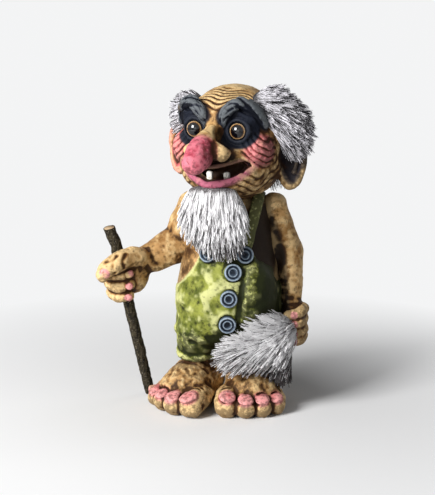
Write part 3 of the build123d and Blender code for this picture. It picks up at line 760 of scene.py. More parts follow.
paints["bark"], tree, surface = open_paint("bark")
ridges = noise(tree, 700.0, 4.0, (1, 1, 0.18))
specks = ranged(tree, noise(tree, 1500.0, 2.0), 0.64, 0.70)
cut_end = ranged(tree, marked(tree, "cut_end"), 0.05, 0.2)
tone = mix_colours(tree, ranged(tree, ridges, 0.35, 0.66), (0.006, 0.005, 0.004), (0.055, 0.045, 0.027))
tone = mix_colours(tree, specks, tone, (0.42, 0.36, 0.28))
tone = mix_colours(tree, cut_end, tone, (0.50, 0.36, 0.22))
bump = add_node(tree, "Bump", {"Height": ridges}, Strength=0.6, Distance=0.35 * metre)
links = {"Base Color": tone, "Roughness": ranged(tree, ridges, -0.8, 0.9)}
feed(tree, surface, {**links, "Normal": bump.outputs[0]})
print("paints:", sorted(paints))


def finish_piece(piece, node, slot, body="figure"):
    """Lets a piece ride on a body in place of a node, in the slot's paint."""
    if not piece.data.materials:
        piece.data.materials.append(paints[slot])
    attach(piece, body)
    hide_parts(node)


# %% [markdown]
# ## The head
#
# The head is turned to the troll's right, so it is sculpted facing straight ahead in its own
# space, where both sides are alike, and turned when it is fired. Big forms come first, as a
# sculptor would take them: skull, jaw, ridge, muzzle and cheeks.

# %% Big forms of the head
head_place, head_turn = (3.5, -2.0, 0.0), -20.0
eye_spread, eye_back, eye_height, eye_size = 17.0, -28.0, 211.0, 7.8
skull_middle = (0, 1, 203)
cheek_spread, cheek_back, cheek_height = 26.5, -20.5, 196.5
head = Clay((-64, -78, 141), (64, 44, 245), head_cell)
head.add(Egg(skull_middle, (38.5, 37.5, 38.5)))
head.add(Egg((0, -4, 184), (36, 34, 28)), 14)
head.add(Egg((0, -21, 221), (31, 15, 13)), 8)
head.add(Egg((0, -21.5, 180), (30, 20, 16)), 8)
head.add(Rope([(0, 2, 146, 12), (0, 1, 156, 13), (0, 0, 168, 16)]), 5)
for side in sides:
    head.add(Egg((side * cheek_spread, cheek_back, cheek_height), 12.5), 4)
head.weigh("skull, jaw and cheeks")

# %% [markdown]
# Ears stand out like cupped hands. Each is a flat egg with a hollow, a rolled rim and a lobe.
# The right one is seen from the side and is a little smaller.

# %% Ears
ear_spread, ear_back, ear_height, ear_turn = 44.5, 3.0, 188.0, 24.0
ear_rim = [
    (-9, 3, 13, 1.8), (-4, 4, 19, 2.0), (3, 3.5, 20, 2.1), (8.5, 2.5, 14, 2.1),
    (10, 2, 3, 2.0), (8.5, 2, -9, 1.9), (4, 2.5, -17, 2.4), (-1, 2, -19, 3.0),
]
ear_fold = [(-3, 2.5, 13, 1.2), (2.5, 3.5, 9, 1.5), (4, 3.5, 0, 1.5), (2, 3, -9, 1.3)]


def ear_point(side, outward, ahead, height, *thickness):
    """A point of an ear from its own directions, so that one drawing serves both ears."""
    angle = math.radians(ear_turn)
    x = side * (ear_spread + outward * math.cos(angle) + ahead * math.sin(angle))
    y = ear_back + outward * math.sin(angle) - ahead * math.cos(angle)
    return (x, y, ear_height + height, *thickness)


ear_hollows, rims = {}, {}
for side, tall, lift in ((-1, 0.84, 3.0), (1, 1.0, 0.0)):

    def ear_rope(stations):
        return Rope([ear_point(side, out, ahead, z * tall + lift, r) for out, ahead, z, r in stations])

    turn = (0, 0, side * ear_turn)
    head.add(Egg(ear_point(side, -0.5, 0, lift), (11.5, 6.0, 22.5 * tall), turn), 4)
    ear_hollows[side] = Egg(ear_point(side, 0.0, 7.0, 1.0 + lift), (8.4, 6.5, 18.5 * tall), turn)
    head.cut(ear_hollows[side], 2)
    rims[side] = ear_rope(ear_rim)
    head.add(rims[side], 2)
    head.add(ear_rope(ear_fold), 2)
    head.cut(Egg(ear_point(side, -3, 4, -1), (4.0, 5.0, 5.5), turn), 2)
head.weigh("with ears")

# %% [markdown]
# The nose is the troll's pride: a rope of clay that starts thin between the eyes, swells and
# droops. Its wings are two eggs.

# %% Nose
nose_line = [(0, -24, 218, 6.0), (0, -35, 211, 6.8), (-0.5, -46, 204, 8.6), (-1, -57, 196.5, 10.2)]
nose = Rope([*nose_line, (-1.5, -64.5, 191, 8.6)])
nose_end = Rope([(-0.8, -55.5, 198, 10.0), (-1, -58, 196, 10.4), (-1.5, -64.5, 191, 9.0)])
head.add(nose, 5)
for side in sides:
    head.add(Egg((side * 9.6, -45.5, 198.0), (8.2, 8.5, 7.4), (0, 0, side * 20)), 2.5)
    head.cut(Egg((side * 7.5, -50.5, 190.5), (3.0, 4.0, 2.8)), 2)
head.weigh("with the nose")

# %% [markdown]
# The grin: a curved slot is dug out twice, at the skin and deeper in, and the lips are laid
# round it.

# %% Mouth and lips
mouth_line = [
    (-28, -25, 188.5, 0.8), (-18, -34, 184, 2.6), (-9, -38.5, 180.5, 4.0), (0, -40, 179.4, 4.9),
    (9, -38.5, 181.0, 5.2), (18, -34.5, 184.2, 4.6), (24, -30, 187.2, 2.8), (30, -24, 190.5, 0.8),
]
upper_lip_line = [
    (-29, -24, 189.5, 1.2), (-18, -35, 187.5, 1.9), (-8, -40.5, 185.8, 1.9), (0, -42, 185.4, 1.8),
    (8, -40.5, 186.8, 1.8), (18, -35.5, 189.6, 1.6), (25, -30, 191.4, 1.3), (31, -23, 193.0, 0.9),
]
lower_lip_line = [
    (-29, -24, 187.5, 1.5), (-18, -35.5, 179.4, 2.6), (-8, -41, 174.6, 3.1), (0, -42.5, 173.2, 3.2),
    (8, -41, 174.4, 3.2), (18, -35.5, 178.4, 2.9), (25, -30, 183.0, 2.3), (31, -23, 189.5, 1.3),
]
upper_lip, lower_lip = Rope(upper_lip_line), Rope(lower_lip_line)
head.add(upper_lip, 2.5)
head.add(lower_lip, 2.5)
mouth = Rope(mouth_line)
mouth_depth = Rope([(x * 0.9, y + 9, z, r * 1.15) for x, y, z, r in mouth_line])
head.cut(mouth, 1.2)
head.cut(mouth_depth, 1.2)
head.weigh("with the mouth dug out")

# %% [markdown]
# Deep sockets, heavy brows and a rolled lid round each eye. The brows get grooves along
# them, as bristles scratched into clay.

# %% Sockets, brows and lids
brow_line = [
    (6.0, -33.5, 214.5, 2.6), (9.5, -36.0, 224.0, 4.4), (18.5, -33.0, 231.0, 5.0),
    (27.5, -26.0, 226.0, 4.8), (32.5, -18.5, 215.5, 3.6),
]
groove_places = ((-4.0, 1.6), (-2.6, 3.6), (-1.2, 4.6), (0.3, 5.0), (1.8, 4.6), (3.2, 3.4), (4.4, 1.4))
lid_radius, lid_back, lid_thickness, eye_room = 7.9, -31.6, 1.7, 0.1
sockets, brows, lids = {}, {}, {}
for side in sides:
    sockets[side] = Egg((side * eye_spread, -39.5, eye_height), (12.5, 12.0, 12.5))
    head.cut(sockets[side], 3)
    brows[side] = Rope([(side * x, y, z, r) for x, y, z, r in brow_line])
    head.add(brows[side], 2)
    ring = []
    for angle in np.arange(0, 361, 30) * math.pi / 180:
        across, up = math.cos(angle), math.sin(angle)
        back = lid_back + 1.2 * abs(across) * (across > 0)
        x, z = side * (eye_spread + lid_radius * across), eye_height + lid_radius * up
        ring.append((x, back, z, lid_thickness))
    lids[side] = Rope(ring, 3)
    head.add(lids[side], 0.8)
    head.cut(Egg((side * eye_spread, eye_back, eye_height), eye_size + eye_room))
    for lift, reach in groove_places:
        groove = [(side * x, y - reach, z + lift + 0.6 * math.sin(x + lift)) for x, y, z, _ in brow_line]
        head.press(groove, 0.62, 0.95)
head.weigh("with sockets, brows and lids")

# %% [markdown]
# Wrinkles are lines pressed in at an even pitch. The phase says which line a point is near:
# on the forehead it counts along the curve of the skull, on the cheek along a slope, and
# round the smile it counts the distance from the cheek.

# %% Wrinkles
forehead_pitch, cheek_pitch, smile_pitch = 4.3, 3.9, 4.3


def forehead_wrinkles(x, y, z):
    rise = np.arctan2(z - 203, 1 - y)
    dip = 4.2 * np.exp(-((x / 8) ** 2)) - 1.6 * np.exp(-(((np.abs(x) - 17) / 8) ** 2))
    phase = (38 * rise + dip + 0.9 * np.sin(x / 3.4)) / forehead_pitch
    where = step(0.50, 0.66, rise) * (1 - step(1.10, 1.35, rise)) * (1 - step(22, 31, np.abs(x)))
    return 1.7 * where * creases(phase, 0.5)


def cheek_ridges(x, y, z):
    out, up = np.abs(x) - cheek_spread, z - cheek_height
    reach = np.sqrt(out**2 + (y - cheek_back) ** 2 + up**2)
    phase = (0.62 * out + 0.78 * up + 0.9 * np.sin(out / 3.1) + 0.5 * np.sin(y / 2.1)) / cheek_pitch
    return 0.85 * (1 - step(13.0, 16.5, reach)) * creases(phase, 0.45)


def smile_folds(x, y, z):
    out = np.abs(x) - 24.0
    reach = np.sqrt(out**2 + (y + 22) ** 2 + (z - 194) ** 2)
    where = step(15.5, 17.5, reach) * (1 - step(27, 33, reach)) * step(-2, 5, out + 0.35 * (194 - z))
    where = where * (1 - step(203, 209, z)) * (1 - step(-4, 6, y))
    uneven = 0.30 * np.sin(z / 4.3 + y / 6) + 0.22 * np.sin(y / 2.7 + z / 9)
    fading = 0.45 + 0.55 * np.sin(z / 6.1 + y / 3.7 + out / 2.9) ** 2
    return 0.8 * where * fading * creases(reach / smile_pitch + uneven, 0.40)


head.shape((-34, -44, 212), (34, 0, 243), forehead_wrinkles)
head.shape((-46, -44, 178), (46, 0, 216), cheek_ridges)
head.shape((-50, -46, 160), (50, 8, 212), smile_folds)
head.rough(7.0, 0.30, 11)
head.rough(2.6, 0.12, 12)
head.weigh("with wrinkles")

# %% [markdown]
# The fired head gets its marks: rouge on nose, cheeks and one ear, kohl round the eyes,
# painted shade in the hollow of the left ear, lips, the dark throat, and painted shade under
# the nose and lip, beside the nose and on the left side of the jaw.

# %% Fire the head
head_piece, points = fired(head, "troll_head", head_place, head_turn)
close = partial(near, points)
rouge = [close(nose_end, 4), close(ear_hollows[-1], 1.0, 0.8), close(rims[-1], 1.0, 0.55)]
# Painted shade: the dark round the eyes is also laid in the hollow of the left ear.
kohl = [close(ear_hollows[1], 2.0, 0.9), close(Egg(ear_point(1, 3, 3, 8), (12, 8, 15)), 3.0, 0.85)]
for side in sides:
    rouge.append(close(Egg((side * cheek_spread, cheek_back, cheek_height), 12.0), 3.5, 0.85))
    kohl += [close(brows[side], 2.8), close(sockets[side], 2.5), close(lids[side], 1.0)]
    kohl.append(close(Egg((side * 18.0, -30, 214), (14.5, 14, 15.5)), 2.0))
# Painted shade under the nose and upper lip, beside the nose and on the left side of the jaw.
soaked = close(Egg((5, -41, 190.5), (13, 8, 3.5)), 4) + close(upper_lip, 1.0, 0.75)
soaked += close(Egg((7.5, -56, 197), (3.5, 7, 8)), 4, 0.55) + close(Egg((14, -38, 199), (3, 6, 7)), 3, 0.5)
x, y, z = points.T
soaked += 0.5 * step(26, 38, x) * step(20, 2, y) * step(212, 200, z)
mark(
    head_piece,
    rouge=strongest(*rouge),
    kohl=strongest(*kohl) * (1 - close(nose, 0.5)),
    bristle=strongest(close(brows[-1], 0.8), close(brows[1], 0.8)),
    lip=strongest(close(upper_lip, 0.6, 0.55), close(lower_lip, 2.2)),
    gullet=strongest(close(upper_lip, 0.8, 0.35), close(mouth_depth, 0.8), close(mouth, 0.9)),
    soaked=soaked,
)
finish_piece(head_piece, "head", "skin")

# %% [markdown]
# ## Trunk and trousers
#
# The bare chest and the cloth are the same barrel of ovals, the cloth a little larger. The
# cloth is kept only below a line that runs round the armholes to the top of the bib. Under
# the bib the chest is shrunk, so that it cannot show through.

# %% Chest
chest_foot, bib_foot, bib_top = 86, 88, 119
under_bib = 3.5
trunk_levels = [
    (46.0, 24.2, 20.9, 0, -1.5), (55.4, 34.3, 30.2, 0, -2.5), (69.6, 38.2, 34.9, 0, -4.5),
    (86.1, 39.0, 36.0, 0, -5.0), (102.6, 37.0, 34.6, 0, -4.0), (121.5, 33.9, 31.0, 0, -1.5),
    (140.4, 32.4, 27.0, 0, 0.5), (154.6, 30.0, 22.7, 0, 1.5), (164.0, 17.6, 14.4, 0, 1.5),
]
trunk_levels = smooth_path(trunk_levels, 6)


def outside_bib(x, y, z):
    way = np.clip((z - bib_foot) / (bib_top - bib_foot), 0, 1)
    half_width = 20.5 + 24 * (1 - way) ** 1.6
    return np.maximum(np.abs(x) - half_width, z - bib_top)


def shrunk_under_bib(x, y, z):
    return under_bib * step(-1.5, -4.5, outside_bib(x, y, z))


chest = Clay((-42, -46, 84), (42, 44, 170), cell)
chest.add(Stack(trunk_levels[trunk_levels[:, 0] > chest_foot]))
chest.rough(9.0, 0.35, 21)
chest.shape((-42, -46, 84), (42, 44, 124), shrunk_under_bib)
chest_piece, points = fired(chest, "bare_chest")
x, y, z = points.T
# Painted shade: dark at the front between the left strap and arm, and low on the right side of the chest.
soaked = 1.5 * step(11, 19, x) + 0.6 * step(-20, -28, x) * step(140, 118, z)
mark(chest_piece, soaked=soaked * step(4, -6, y))
finish_piece(chest_piece, "chest", "skin")

# %% [markdown]
# The overalls are the barrel with two legs, rolled hems, a bulge over the knees and the
# belly, and a few pressed folds. Each button gets a bed: a disc is pressed on and cut flat,
# so the button lies on the cloth and nothing pokes through it.

# %% Overalls
cloth_growth = 1.4
bed_radius, bed_clearance_radius = 6.6, 7.3
bed_low, bed_high, bed_opening = -5.0, 0.2, 7.0
hem_half_width, hem_half_depth, hem_height, hem_thickness = 15.0, 18.6, 39.5, 4.1
leg_middle = -5
legs = {-1: -20.4, 1: 19.6}
# height, half width, half depth, share of the leg's place across, middle back
leg_levels = [
    (38, 16.6, 19.5, 1.0, leg_middle),
    (48, 18.2, 22, 1.0, -5.5),
    (60, 18, 22.5, 0.95, leg_middle),
    (72, 14, 18, 0.9, -4),
]
overalls = Clay((-46, -52, 32), (46, 44, 124), cell)
barrel = Stack(trunk_levels, cloth_growth)
overalls.add(barrel)
overalls.keep(outside_bib, 1.5)
for x in legs.values():
    levels = [(z, width, depth, x * share, y) for z, width, depth, share, y in leg_levels]
    overalls.add(Stack(smooth_path(levels, 5)), 5)
for centre, radii, blend in (
    ((-21, -20, 60), (15, 13, 18), 7),
    ((21, -17, 52), (14, 12, 12), 6),
    ((20, -14, 92), (17, 27, 24), 8),
):
    overalls.add(Egg(centre, radii), blend)
for side, x in legs.items():
    hem = []
    for angle in np.arange(0, 361, 20) * math.pi / 180:
        out, back = hem_half_width * math.cos(angle), hem_half_depth * math.sin(angle)
        height = hem_height + 0.8 * math.sin(3 * angle + side)
        hem.append((x + out, leg_middle + back, height, hem_thickness))
    overalls.add(Rope(hem, 2), 1.2)
    overalls.cut(Egg((x, leg_middle, 33), (13, 16, 5)))
fly = [(12.5, -36, 121), (13.5, -40, 105), (11.5, -42, 90), (9.5, -41, 74), (5, -37, 58), (0, -30, 44)]
overalls.press(fly, 1.9, 2.2, 0.2)
for line in (
    [(-38, -12, 53), (-29, -27, 55), (-20, -34, 50), (-10, -28, 47)],
    [(28, -30, 74), (34, -24, 88), (36, -18, 104)],
    [(6, -30, 50), (16, -30, 52), (28, -27, 50), (36, -15, 52)],
):
    overalls.press(line, 2.0, 1.1)
    overalls.press([(x, y, z + 4.2) for x, y, z in line], 2.8, -0.5)
overalls.rough(13.0, 0.9, 26)
overalls.rough(6.5, 0.50, 22)
overalls.rough(2.4, 0.10, 23)
buttons = {
    "button_right": (-12.5, 120.0),
    "button_left": (13.5, 119.5),
    "button_upper": (5.6, 107.5),
    "button_middle": (3.0, 89.0),
    "button_lower": (2.0, 69.5),
}
button_seats = {}
for node, (x, z) in buttons.items():
    depths = np.linspace(-48, -10, 400)
    y = depths[np.argmin(np.abs(barrel.distance(np.full(400, x), depths, np.full(400, z))))]
    tip = 0.25 if z > 100 else -0.1 if z < 80 else 0.05  # the belly tips them up or down
    seat, ahead = np.array([x, y + 0.6, z]), np.array([x / 39, -1, tip])
    button_seats[node] = (seat, ahead)
    overalls.add(Disc(seat, ahead, bed_radius, bed_low, bed_high), 1.0)
    overalls.cut(Disc(seat, ahead, bed_clearance_radius, 0.25, bed_opening), 0.8)
overalls_piece, points = fired(overalls, "green_overalls")
x, y, z = points.T
# Painted shade: dark on the left side under the arm, between the legs, above the right hem and under the
# beard at the bib's top; the left half a little darker and the upper right a little lighter.
soaked = 1.5 * step(22, 31, x) * step(44, 58, z) * step(10, -6, y)
soaked += near(points, Rope([(0, -38, 66, 2), (-1, -34, 54, 5), (-1, -26, 40, 8)]), 7, 1.3)
soaked += near(points, Egg((-24, -25, 50), (11, 14, 7)), 8, 0.5)
soaked += near(points, Egg((-2, -38, 121), (26, 14, 6)), 6, 0.7)
soaked += 0.5 * step(8, 12, x) - 0.2 * step(6, -2, x) * step(56, 66, z)
mark(overalls_piece, soaked=soaked)
finish_piece(overalls_piece, "overalls", "cloth")

# %% [markdown]
# The straps are the band that is left of a larger barrel when all but a strip is cut away.

# %% Straps
strap_low, strap_rise, strap_half_width, button_room = 117, 41.5, 4.25, 6.9
strap_inner, strap_outer = 0.6, 3.2
strap_foot_x, strap_lean, strap_block = 13.5, 9.5, 34
for side, node in ((-1, "strap_right"), (1, "strap_left")):

    def outside_strap(x, y, z):
        middle = strap_foot_x + strap_lean * np.clip((z - bib_top) / strap_rise, 0, 1)
        return np.maximum(np.abs(side * x - middle) - strap_half_width, strap_low - z)

    inner, outer = sorted((0, side * strap_block))
    strap = Clay((inner, -42, 112), (outer, 42, 172), cell)
    strap.add(Stack(trunk_levels, strap_outer))
    strap.cut(Stack(trunk_levels, strap_inner))
    strap.keep(outside_strap, 1.0)
    strap.rough(4.0, 0.15, 24)
    for seat, ahead in button_seats.values():
        strap.cut(Disc(seat, ahead, button_room, 0.1, 8.0), 0.3)
    strap_piece, points = fired(strap, "shoulder_" + node)
    # Painted shade: the strap is darker towards the front.
    mark(strap_piece, soaked=0.75 * step(24, 6, points[:, 1]))
    finish_piece(strap_piece, node, "cloth")

# %% [markdown]
# ## Arms
#
# The left arm hangs down to the tail. The right forearm reaches forward to the stick, and
# its fingers curl right round it, so they are drawn round the stick's own line.

# %% Left arm and tail
arm = Clay((22, -30, 44), (70, 26, 166), cell)
arm_middle = {150: 33, 133: 39.5, 115: 44.5, 97: 46.5, 80: 47.5}  # height: place across
arm_line = [(33, 1, 150, 10.5), (39.5, 1.5, 133, 9.6), (44.5, 2, 115, 10.4), (46.5, -2, 97, 9.4)]
arm.add(Rope([*arm_line, (47.5, -5.5, 80, 7.4), (48.5, -8, 70, 8.0)]))
arm.add(Egg((46.5, 5, 116), (7, 6, 8)), 5)
arm.add(Egg((34, 4, 124), (7, 14, 20)), 5)
arm.add(Egg((48.5, -9, 66), (8.6, 11, 11.5)), 3)
nails = []
for z in (74.0, 66.8, 59.6, 53.6):
    finger = [(52.5, 0, z, 4.0), (56, -9, z, 4.3), (53.5, -18, z - 1, 4.2), (46, -21, z - 2, 3.8)]
    arm.add(Rope(finger), 1.6)
    nails.append(Egg((50.0, -23.0, z - 1.5), (3.0, 2.4, 2.8), (0, 0, -25)))
arm.press([(40, -6, 76), (50, -13, 78), (58, -6, 76)], 1.5, 0.8)
arm.press([(41, -6, 81), (50, -12.5, 83), (57, -6, 81)], 1.5, 0.8)
arm.rough(8.0, 0.5, 31)
arm.rough(2.6, 0.14, 32)
arm_piece, points = fired(arm, "hanging_arm")
x, y, z = points.T
heights = sorted(arm_middle)
inner = x - np.interp(z, heights, [arm_middle[height] for height in heights])
# Painted shade: dark on the inner side towards the trunk, and darker at the hand.
soaked = 1.4 * step(1.5, -4, inner) * step(16, 8, y) + 0.5 * step(88, 70, z)
mark(arm_piece, nail=strongest(*(near(points, nail, 0.4) for nail in nails)), soaked=soaked)
finish_piece(arm_piece, "arm_left", "skin")

tail = Clay((0, -14, 38), (60, 44, 74), cell)
tail_line = [(8, 28, 62, 5.0), (22, 33, 52.5, 4.5), (33, 35, 47.5, 4.2), (45, 28, 48.5, 4.1)]
tail.add(Rope([*tail_line, (50.5, 14, 54, 4.0), (50, -3, 62, 3.8)]))
tail.shape((0, -14, 38), (60, 44, 74), lambda x, y, z: 0.35 * creases((x - 0.8 * y) / 4.5, 0.5))
tail.rough(3.0, 0.25, 33)
finish_piece(fired(tail, "bare_tail")[0], "tail", "skin")

# %% Right arm and fist
stick_foot = np.array([-62.0, 3.0, 1.2])
stick_up = np.array([-0.170322, -0.198709, 0.965145])
stick_across = np.array([1.0, 0, 0]) - stick_up * stick_up[0]
stick_across /= np.linalg.norm(stick_across)
stick_back = np.cross(stick_up, stick_across)
bore_radius, bore_cut_radius, finger_room = 4.85, 4.9, 4.2


def by_stick(across, back, way):
    """A point given from the stick's own line."""
    return stick_foot + stick_across * across + stick_back * back + stick_up * way


def round_stick(angle, reach, way):
    """A point at an angle round the stick, 0 on the troll's left and 270 in front."""
    angle = math.radians(angle)
    return by_stick(reach * math.cos(angle), reach * math.sin(angle), way)


def bore(radius):
    """The way that the stick takes through the fist."""
    return Rope([(*by_stick(0, 0, -5), radius), (*by_stick(0, 0, 160), radius)])


arm = Clay((-100, -52, 70), (-10, 28, 166), cell)
arm_line = [(-27, 2, 149, 12.6), (-31.5, 2, 136, 13.8), (-37, 1.5, 123, 14.6), (-50, -5, 115.5, 12.6)]
arm.add(Rope([*arm_line, (-62, -11, 110, 10.6), (-70, -15, 107, 10.2)]))
arm.add(Egg((-40, 6, 118), (10, 8, 9)), 6)
arm.add(Egg(by_stick(8.0, 4.5, 101), (12.0, 12.5, 16.0)), 4)
nails = []
for way, start, stop, size in ((107.5, 36, 312, 5.6), (98.0, 30, 303, 5.6), (88.8, 32, 294, 5.0)):
    bends = np.linspace(start, stop, 8)
    lift = np.interp(bends, (start, 200, stop), (0, 0.5, -0.6))
    thick = np.interp(bends, (start, 180, 225, 262, stop), (0.85, 1.0, 0.88, 1.04, 0.92)) * size
    line = [(*round_stick(a, finger_room + size, way + up), r) for a, up, r in zip(bends, lift, thick)]
    arm.add(Rope(line, 3), 0.9)
    knuckle = finger_room + 2 * size
    for joint in (196, 240):
        crease = [round_stick(joint + turn, knuckle, way + up) for turn, up in ((0, -4), (3, 0), (0, 4))]
        arm.press(crease, 0.7, 0.8)
    nails.append(Egg(round_stick(stop - 6, knuckle - 0.3, way - 0.6), (3.3, 1.7, 3.0), (0, 0, stop - 276)))
thumb = [(-62, -15, 110, 8.0), (-68, -24, 115, 7.6), (-77, -33, 114.5, 7.4), (-85.5, -37, 109, 6.8)]
arm.add(Rope([*thumb, (-90, -37, 104, 5.6)]), 1.5)
nails.append(Egg((-88, -42.2, 106), (4.0, 2.0, 4.2), (20, 35, 10)))
for nail in nails:
    arm.add(nail, 0.4)
for line in (
    [(-73, -36, 120), (-75, -40.5, 115), (-74, -38, 109)],
    [(-80, -38, 118), (-82, -42, 112), (-81, -40, 107)],
    [(-66, -20, 121), (-66, -25, 113), (-64, -24, 104)],
    [(-60, -16, 120), (-60, -21, 110), (-58, -17, 101)],
    [(-88, -40, 114), (-84, -42, 116), (-79, -40, 119)],
    [(-72, -31, 122), (-69, -29, 119), (-67, -27, 116)],
):
    arm.press(line, 1.4, 0.7)
arm.cut(bore(bore_cut_radius))
arm.rough(8.0, 0.5, 34)
arm.rough(2.6, 0.12, 35)
arm.cut(bore(bore_radius))
arm_piece, points = fired(arm, "reaching_arm")
mark(arm_piece, nail=strongest(*(near(points, nail, 0.3) for nail in nails)))
finish_piece(arm_piece, "arm_right", "skin")

# %% [markdown]
# ## Feet
#
# Broad bare feet with four toes. The foot is drawn once, facing forward, and mirrored. Each
# nail lies in a shallow bed of its own.

# %% Feet
foot_back, foot_top, nail_turn = -6.0, 44.5, (24, 0, 0)
toe_line = ((19.0, -36.0, 9.0), (5.6, -38.0, 8.1), (-6.6, -35.0, 7.7), (-17.6, -29.0, 7.2))
toe_creases = ((0.8, 4, 4, 6, 2, 0.9, 1.2), (0.7, 8, 5, 9.5, 3, 0.8, 0.9))
for side, foot_x, foot_turn, node in ((-1, -22.0, -30.0, "foot_right"), (1, 17.0, 6.0, "foot_left")):
    foot = Clay((-34, -58, -3), (34, 24, 47), cell)
    foot.add(Egg((0, 3, 16), (16.5, 19, 19)))
    foot.add(Egg((0, -12, 15), (20, 24, 18.5)), 8)
    foot.add(Egg((0, -20, 9.5), (24, 16, 12.5)), 6)
    foot.add(Rope([(0, 2, 20, 15.5), (0, 2, 42, 12.0)]), 6)
    nails = []
    for toe_x, toe_y, size in toe_line:
        x = -side * toe_x
        knuckle, tip = (x, toe_y + 5, size + 2.2, size), (x * 1.02, toe_y - 2, size * 0.95, size * 0.98)
        foot.add(Rope([(x * 0.92, toe_y + 15, 11.5, size * 0.95), knuckle, tip]), 1.6)
        for spread, ends_y, ends_z, top_y, top_z, width, depth in toe_creases:
            out, up = size * spread, size + ends_z
            top = (x, toe_y + top_y, 2 * size + top_z)
            foot.press([(x - out, toe_y + ends_y, up), top, (x + out, toe_y + ends_y, up)], width, depth)
        centre = (x, toe_y - 1.6 - 0.36 * size, 1.81 * size)
        nails.append(Egg(centre, (size * 0.70, size * 0.74, size * 0.24), nail_turn))
    for nail in nails:
        foot.cut(Egg(nail.centre + (0, -0.3, 0.65), nail.radii + 0.5, nail_turn))
        foot.add(nail, 0.8)
    for y, z in ((-17, 33), (-12, 36.5), (-23, 28.5)):
        foot.press([(-15, y + 6, z - 6), (0, y, z), (15, y + 6, z - 6)], 1.2, 1.1)
    foot.rough(6.0, 0.45, 41 + side)
    foot.rough(2.4, 0.16, 44 + side)
    foot.keep(lambda x, y, z: np.maximum(-z, z - foot_top))
    foot_piece, points = fired(foot, "bare_" + node, (foot_x, foot_back, 0.0), foot_turn)
    z = points[:, 2]
    # Painted shade: a little all over, more at the top by the ankle and low at the toes.
    soaked = 0.22 + 0.4 * step(24, 34, z) + 0.35 * step(13, 3, z)
    mark(foot_piece, nail=strongest(*(near(points, nail, 2.4) for nail in nails)), soaked=soaked)
    finish_piece(foot_piece, node, "skin")

# %% [markdown]
# ## Glass eyes, teeth and buttons
#
# Turned and moulded things have clean curves, so their meshes are drawn directly: a profile
# is spun about an axis. A tooth is uneven, so it is a lump of clay like the rest.

# %% Turned pieces


def spun(name, profile, place, axis, around=48):
    """A profile of (radius, height) spun about an axis that starts at a place."""
    axis = np.array(axis, float) / np.linalg.norm(axis)
    first = np.cross(axis, (0.3, 0.1, 1.0))
    first /= np.linalg.norm(first)
    second = np.cross(axis, first)
    place = np.array(place, float)
    points, faces = [place + axis * profile[0][1]], []
    for radius, height in profile[1:-1]:
        for angle in np.arange(around) * 2 * math.pi / around:
            out = first * math.cos(angle) + second * math.sin(angle)
            points.append(place + axis * height + radius * out)
    points.append(place + axis * profile[-1][1])
    last_ring = 1 + (len(profile) - 3) * around
    for k in range(around):
        after = (k + 1) % around
        faces.append((0, 1 + after, 1 + k))
        for base in range(1, last_ring, around):
            faces.append((base + k, base + after, base + around + after, base + around + k))
        faces.append((last_ring + k, last_ring + after, len(points) - 1))
    points = np.array(points)
    return meshed(name, points, faces), points


iris_limit = 9.0
for side, node, gaze in ((-1, "eye_right", (0.08, -1.0, 0.02)), (1, "eye_left", (0.12, -1.0, 0.02))):
    centre = np.array([[side * eye_spread, eye_back, eye_height]])
    centre = turned(centre, head_place, head_turn)[0]
    look = turned(np.array([gaze]), turn=head_turn)[0]
    bends = np.linspace(0, math.pi, 29)
    profile = [(eye_size * math.sin(a), -eye_size * math.cos(a)) for a in bends]
    eye_piece, points = spun("glass_" + node, profile, centre, look)
    look = look / np.linalg.norm(look)
    ahead = (points - centre) @ look
    off_axis = np.sqrt(np.maximum(((points - centre) ** 2).sum(1) - ahead**2, 0))
    mark(eye_piece, iris=np.where(ahead > 0, off_axis, iris_limit))
    finish_piece(eye_piece, node, "eye")

tooth_y = -35.4
for tooth_x, tooth_z, node in ((-3.0, 178.6, "tooth_right"), (10.5, 178.8, "tooth_left")):

    def outside_tooth(x, y, z):
        sideways = np.maximum(np.abs(x - tooth_x) - 2.5, np.abs(y - tooth_y) - 1.8)
        return np.maximum(sideways, z - tooth_z - 3.2)

    tooth = Clay((tooth_x - 5, -42, 168), (tooth_x + 5, -28, 186), tooth_cell)
    tooth.add(Egg((tooth_x, tooth_y, tooth_z), (2.9, 2.2, 4.6)))
    tooth.keep(outside_tooth, 1.2)
    tooth.rough(2.0, 0.10, 51)
    finish_piece(fired(tooth, "peg_" + node, head_place, head_turn)[0], node, "tooth")

button_profile = [
    (0, 0), (6.2, 0), (6.5, 0.5), (6.5, 2.7), (6.2, 3.5), (5.6, 3.9), (5.0, 3.7), (4.6, 2.9), (4.2, 2.5),
    (3.8, 2.6), (3.4, 3.1), (2.9, 3.2), (2.4, 2.8), (2.1, 2.2), (1.2, 2.1), (0, 2.1),
]
ring_places = (0, 1.7, 2.2, 3.1, 3.8, 4.3, 5.2, 6.0, 6.6)
ring_depths = (1.0, 0.9, 0.2, -1.5, 0.4, 1.2, -0.9, -1.7, 0.2)
for node, (seat, ahead) in button_seats.items():
    button_piece, points = spun("round_" + node, button_profile, seat, ahead)
    ahead = ahead / np.linalg.norm(ahead)
    rings = np.interp(np.linalg.norm(np.cross(points - seat, ahead), axis=1), ring_places, ring_depths)
    mark(button_piece, cavity=np.where((points - seat) @ ahead > 1.8, rings, 0.3))
    finish_piece(button_piece, node, "button")

# %% [markdown]
# ## The twig
#
# A real twig: bark in ridges along it, a bud low down, a slight crook above the fist, and a
# clean cut at the top. Below the fist it stays thin enough to be drawn through the fingers.

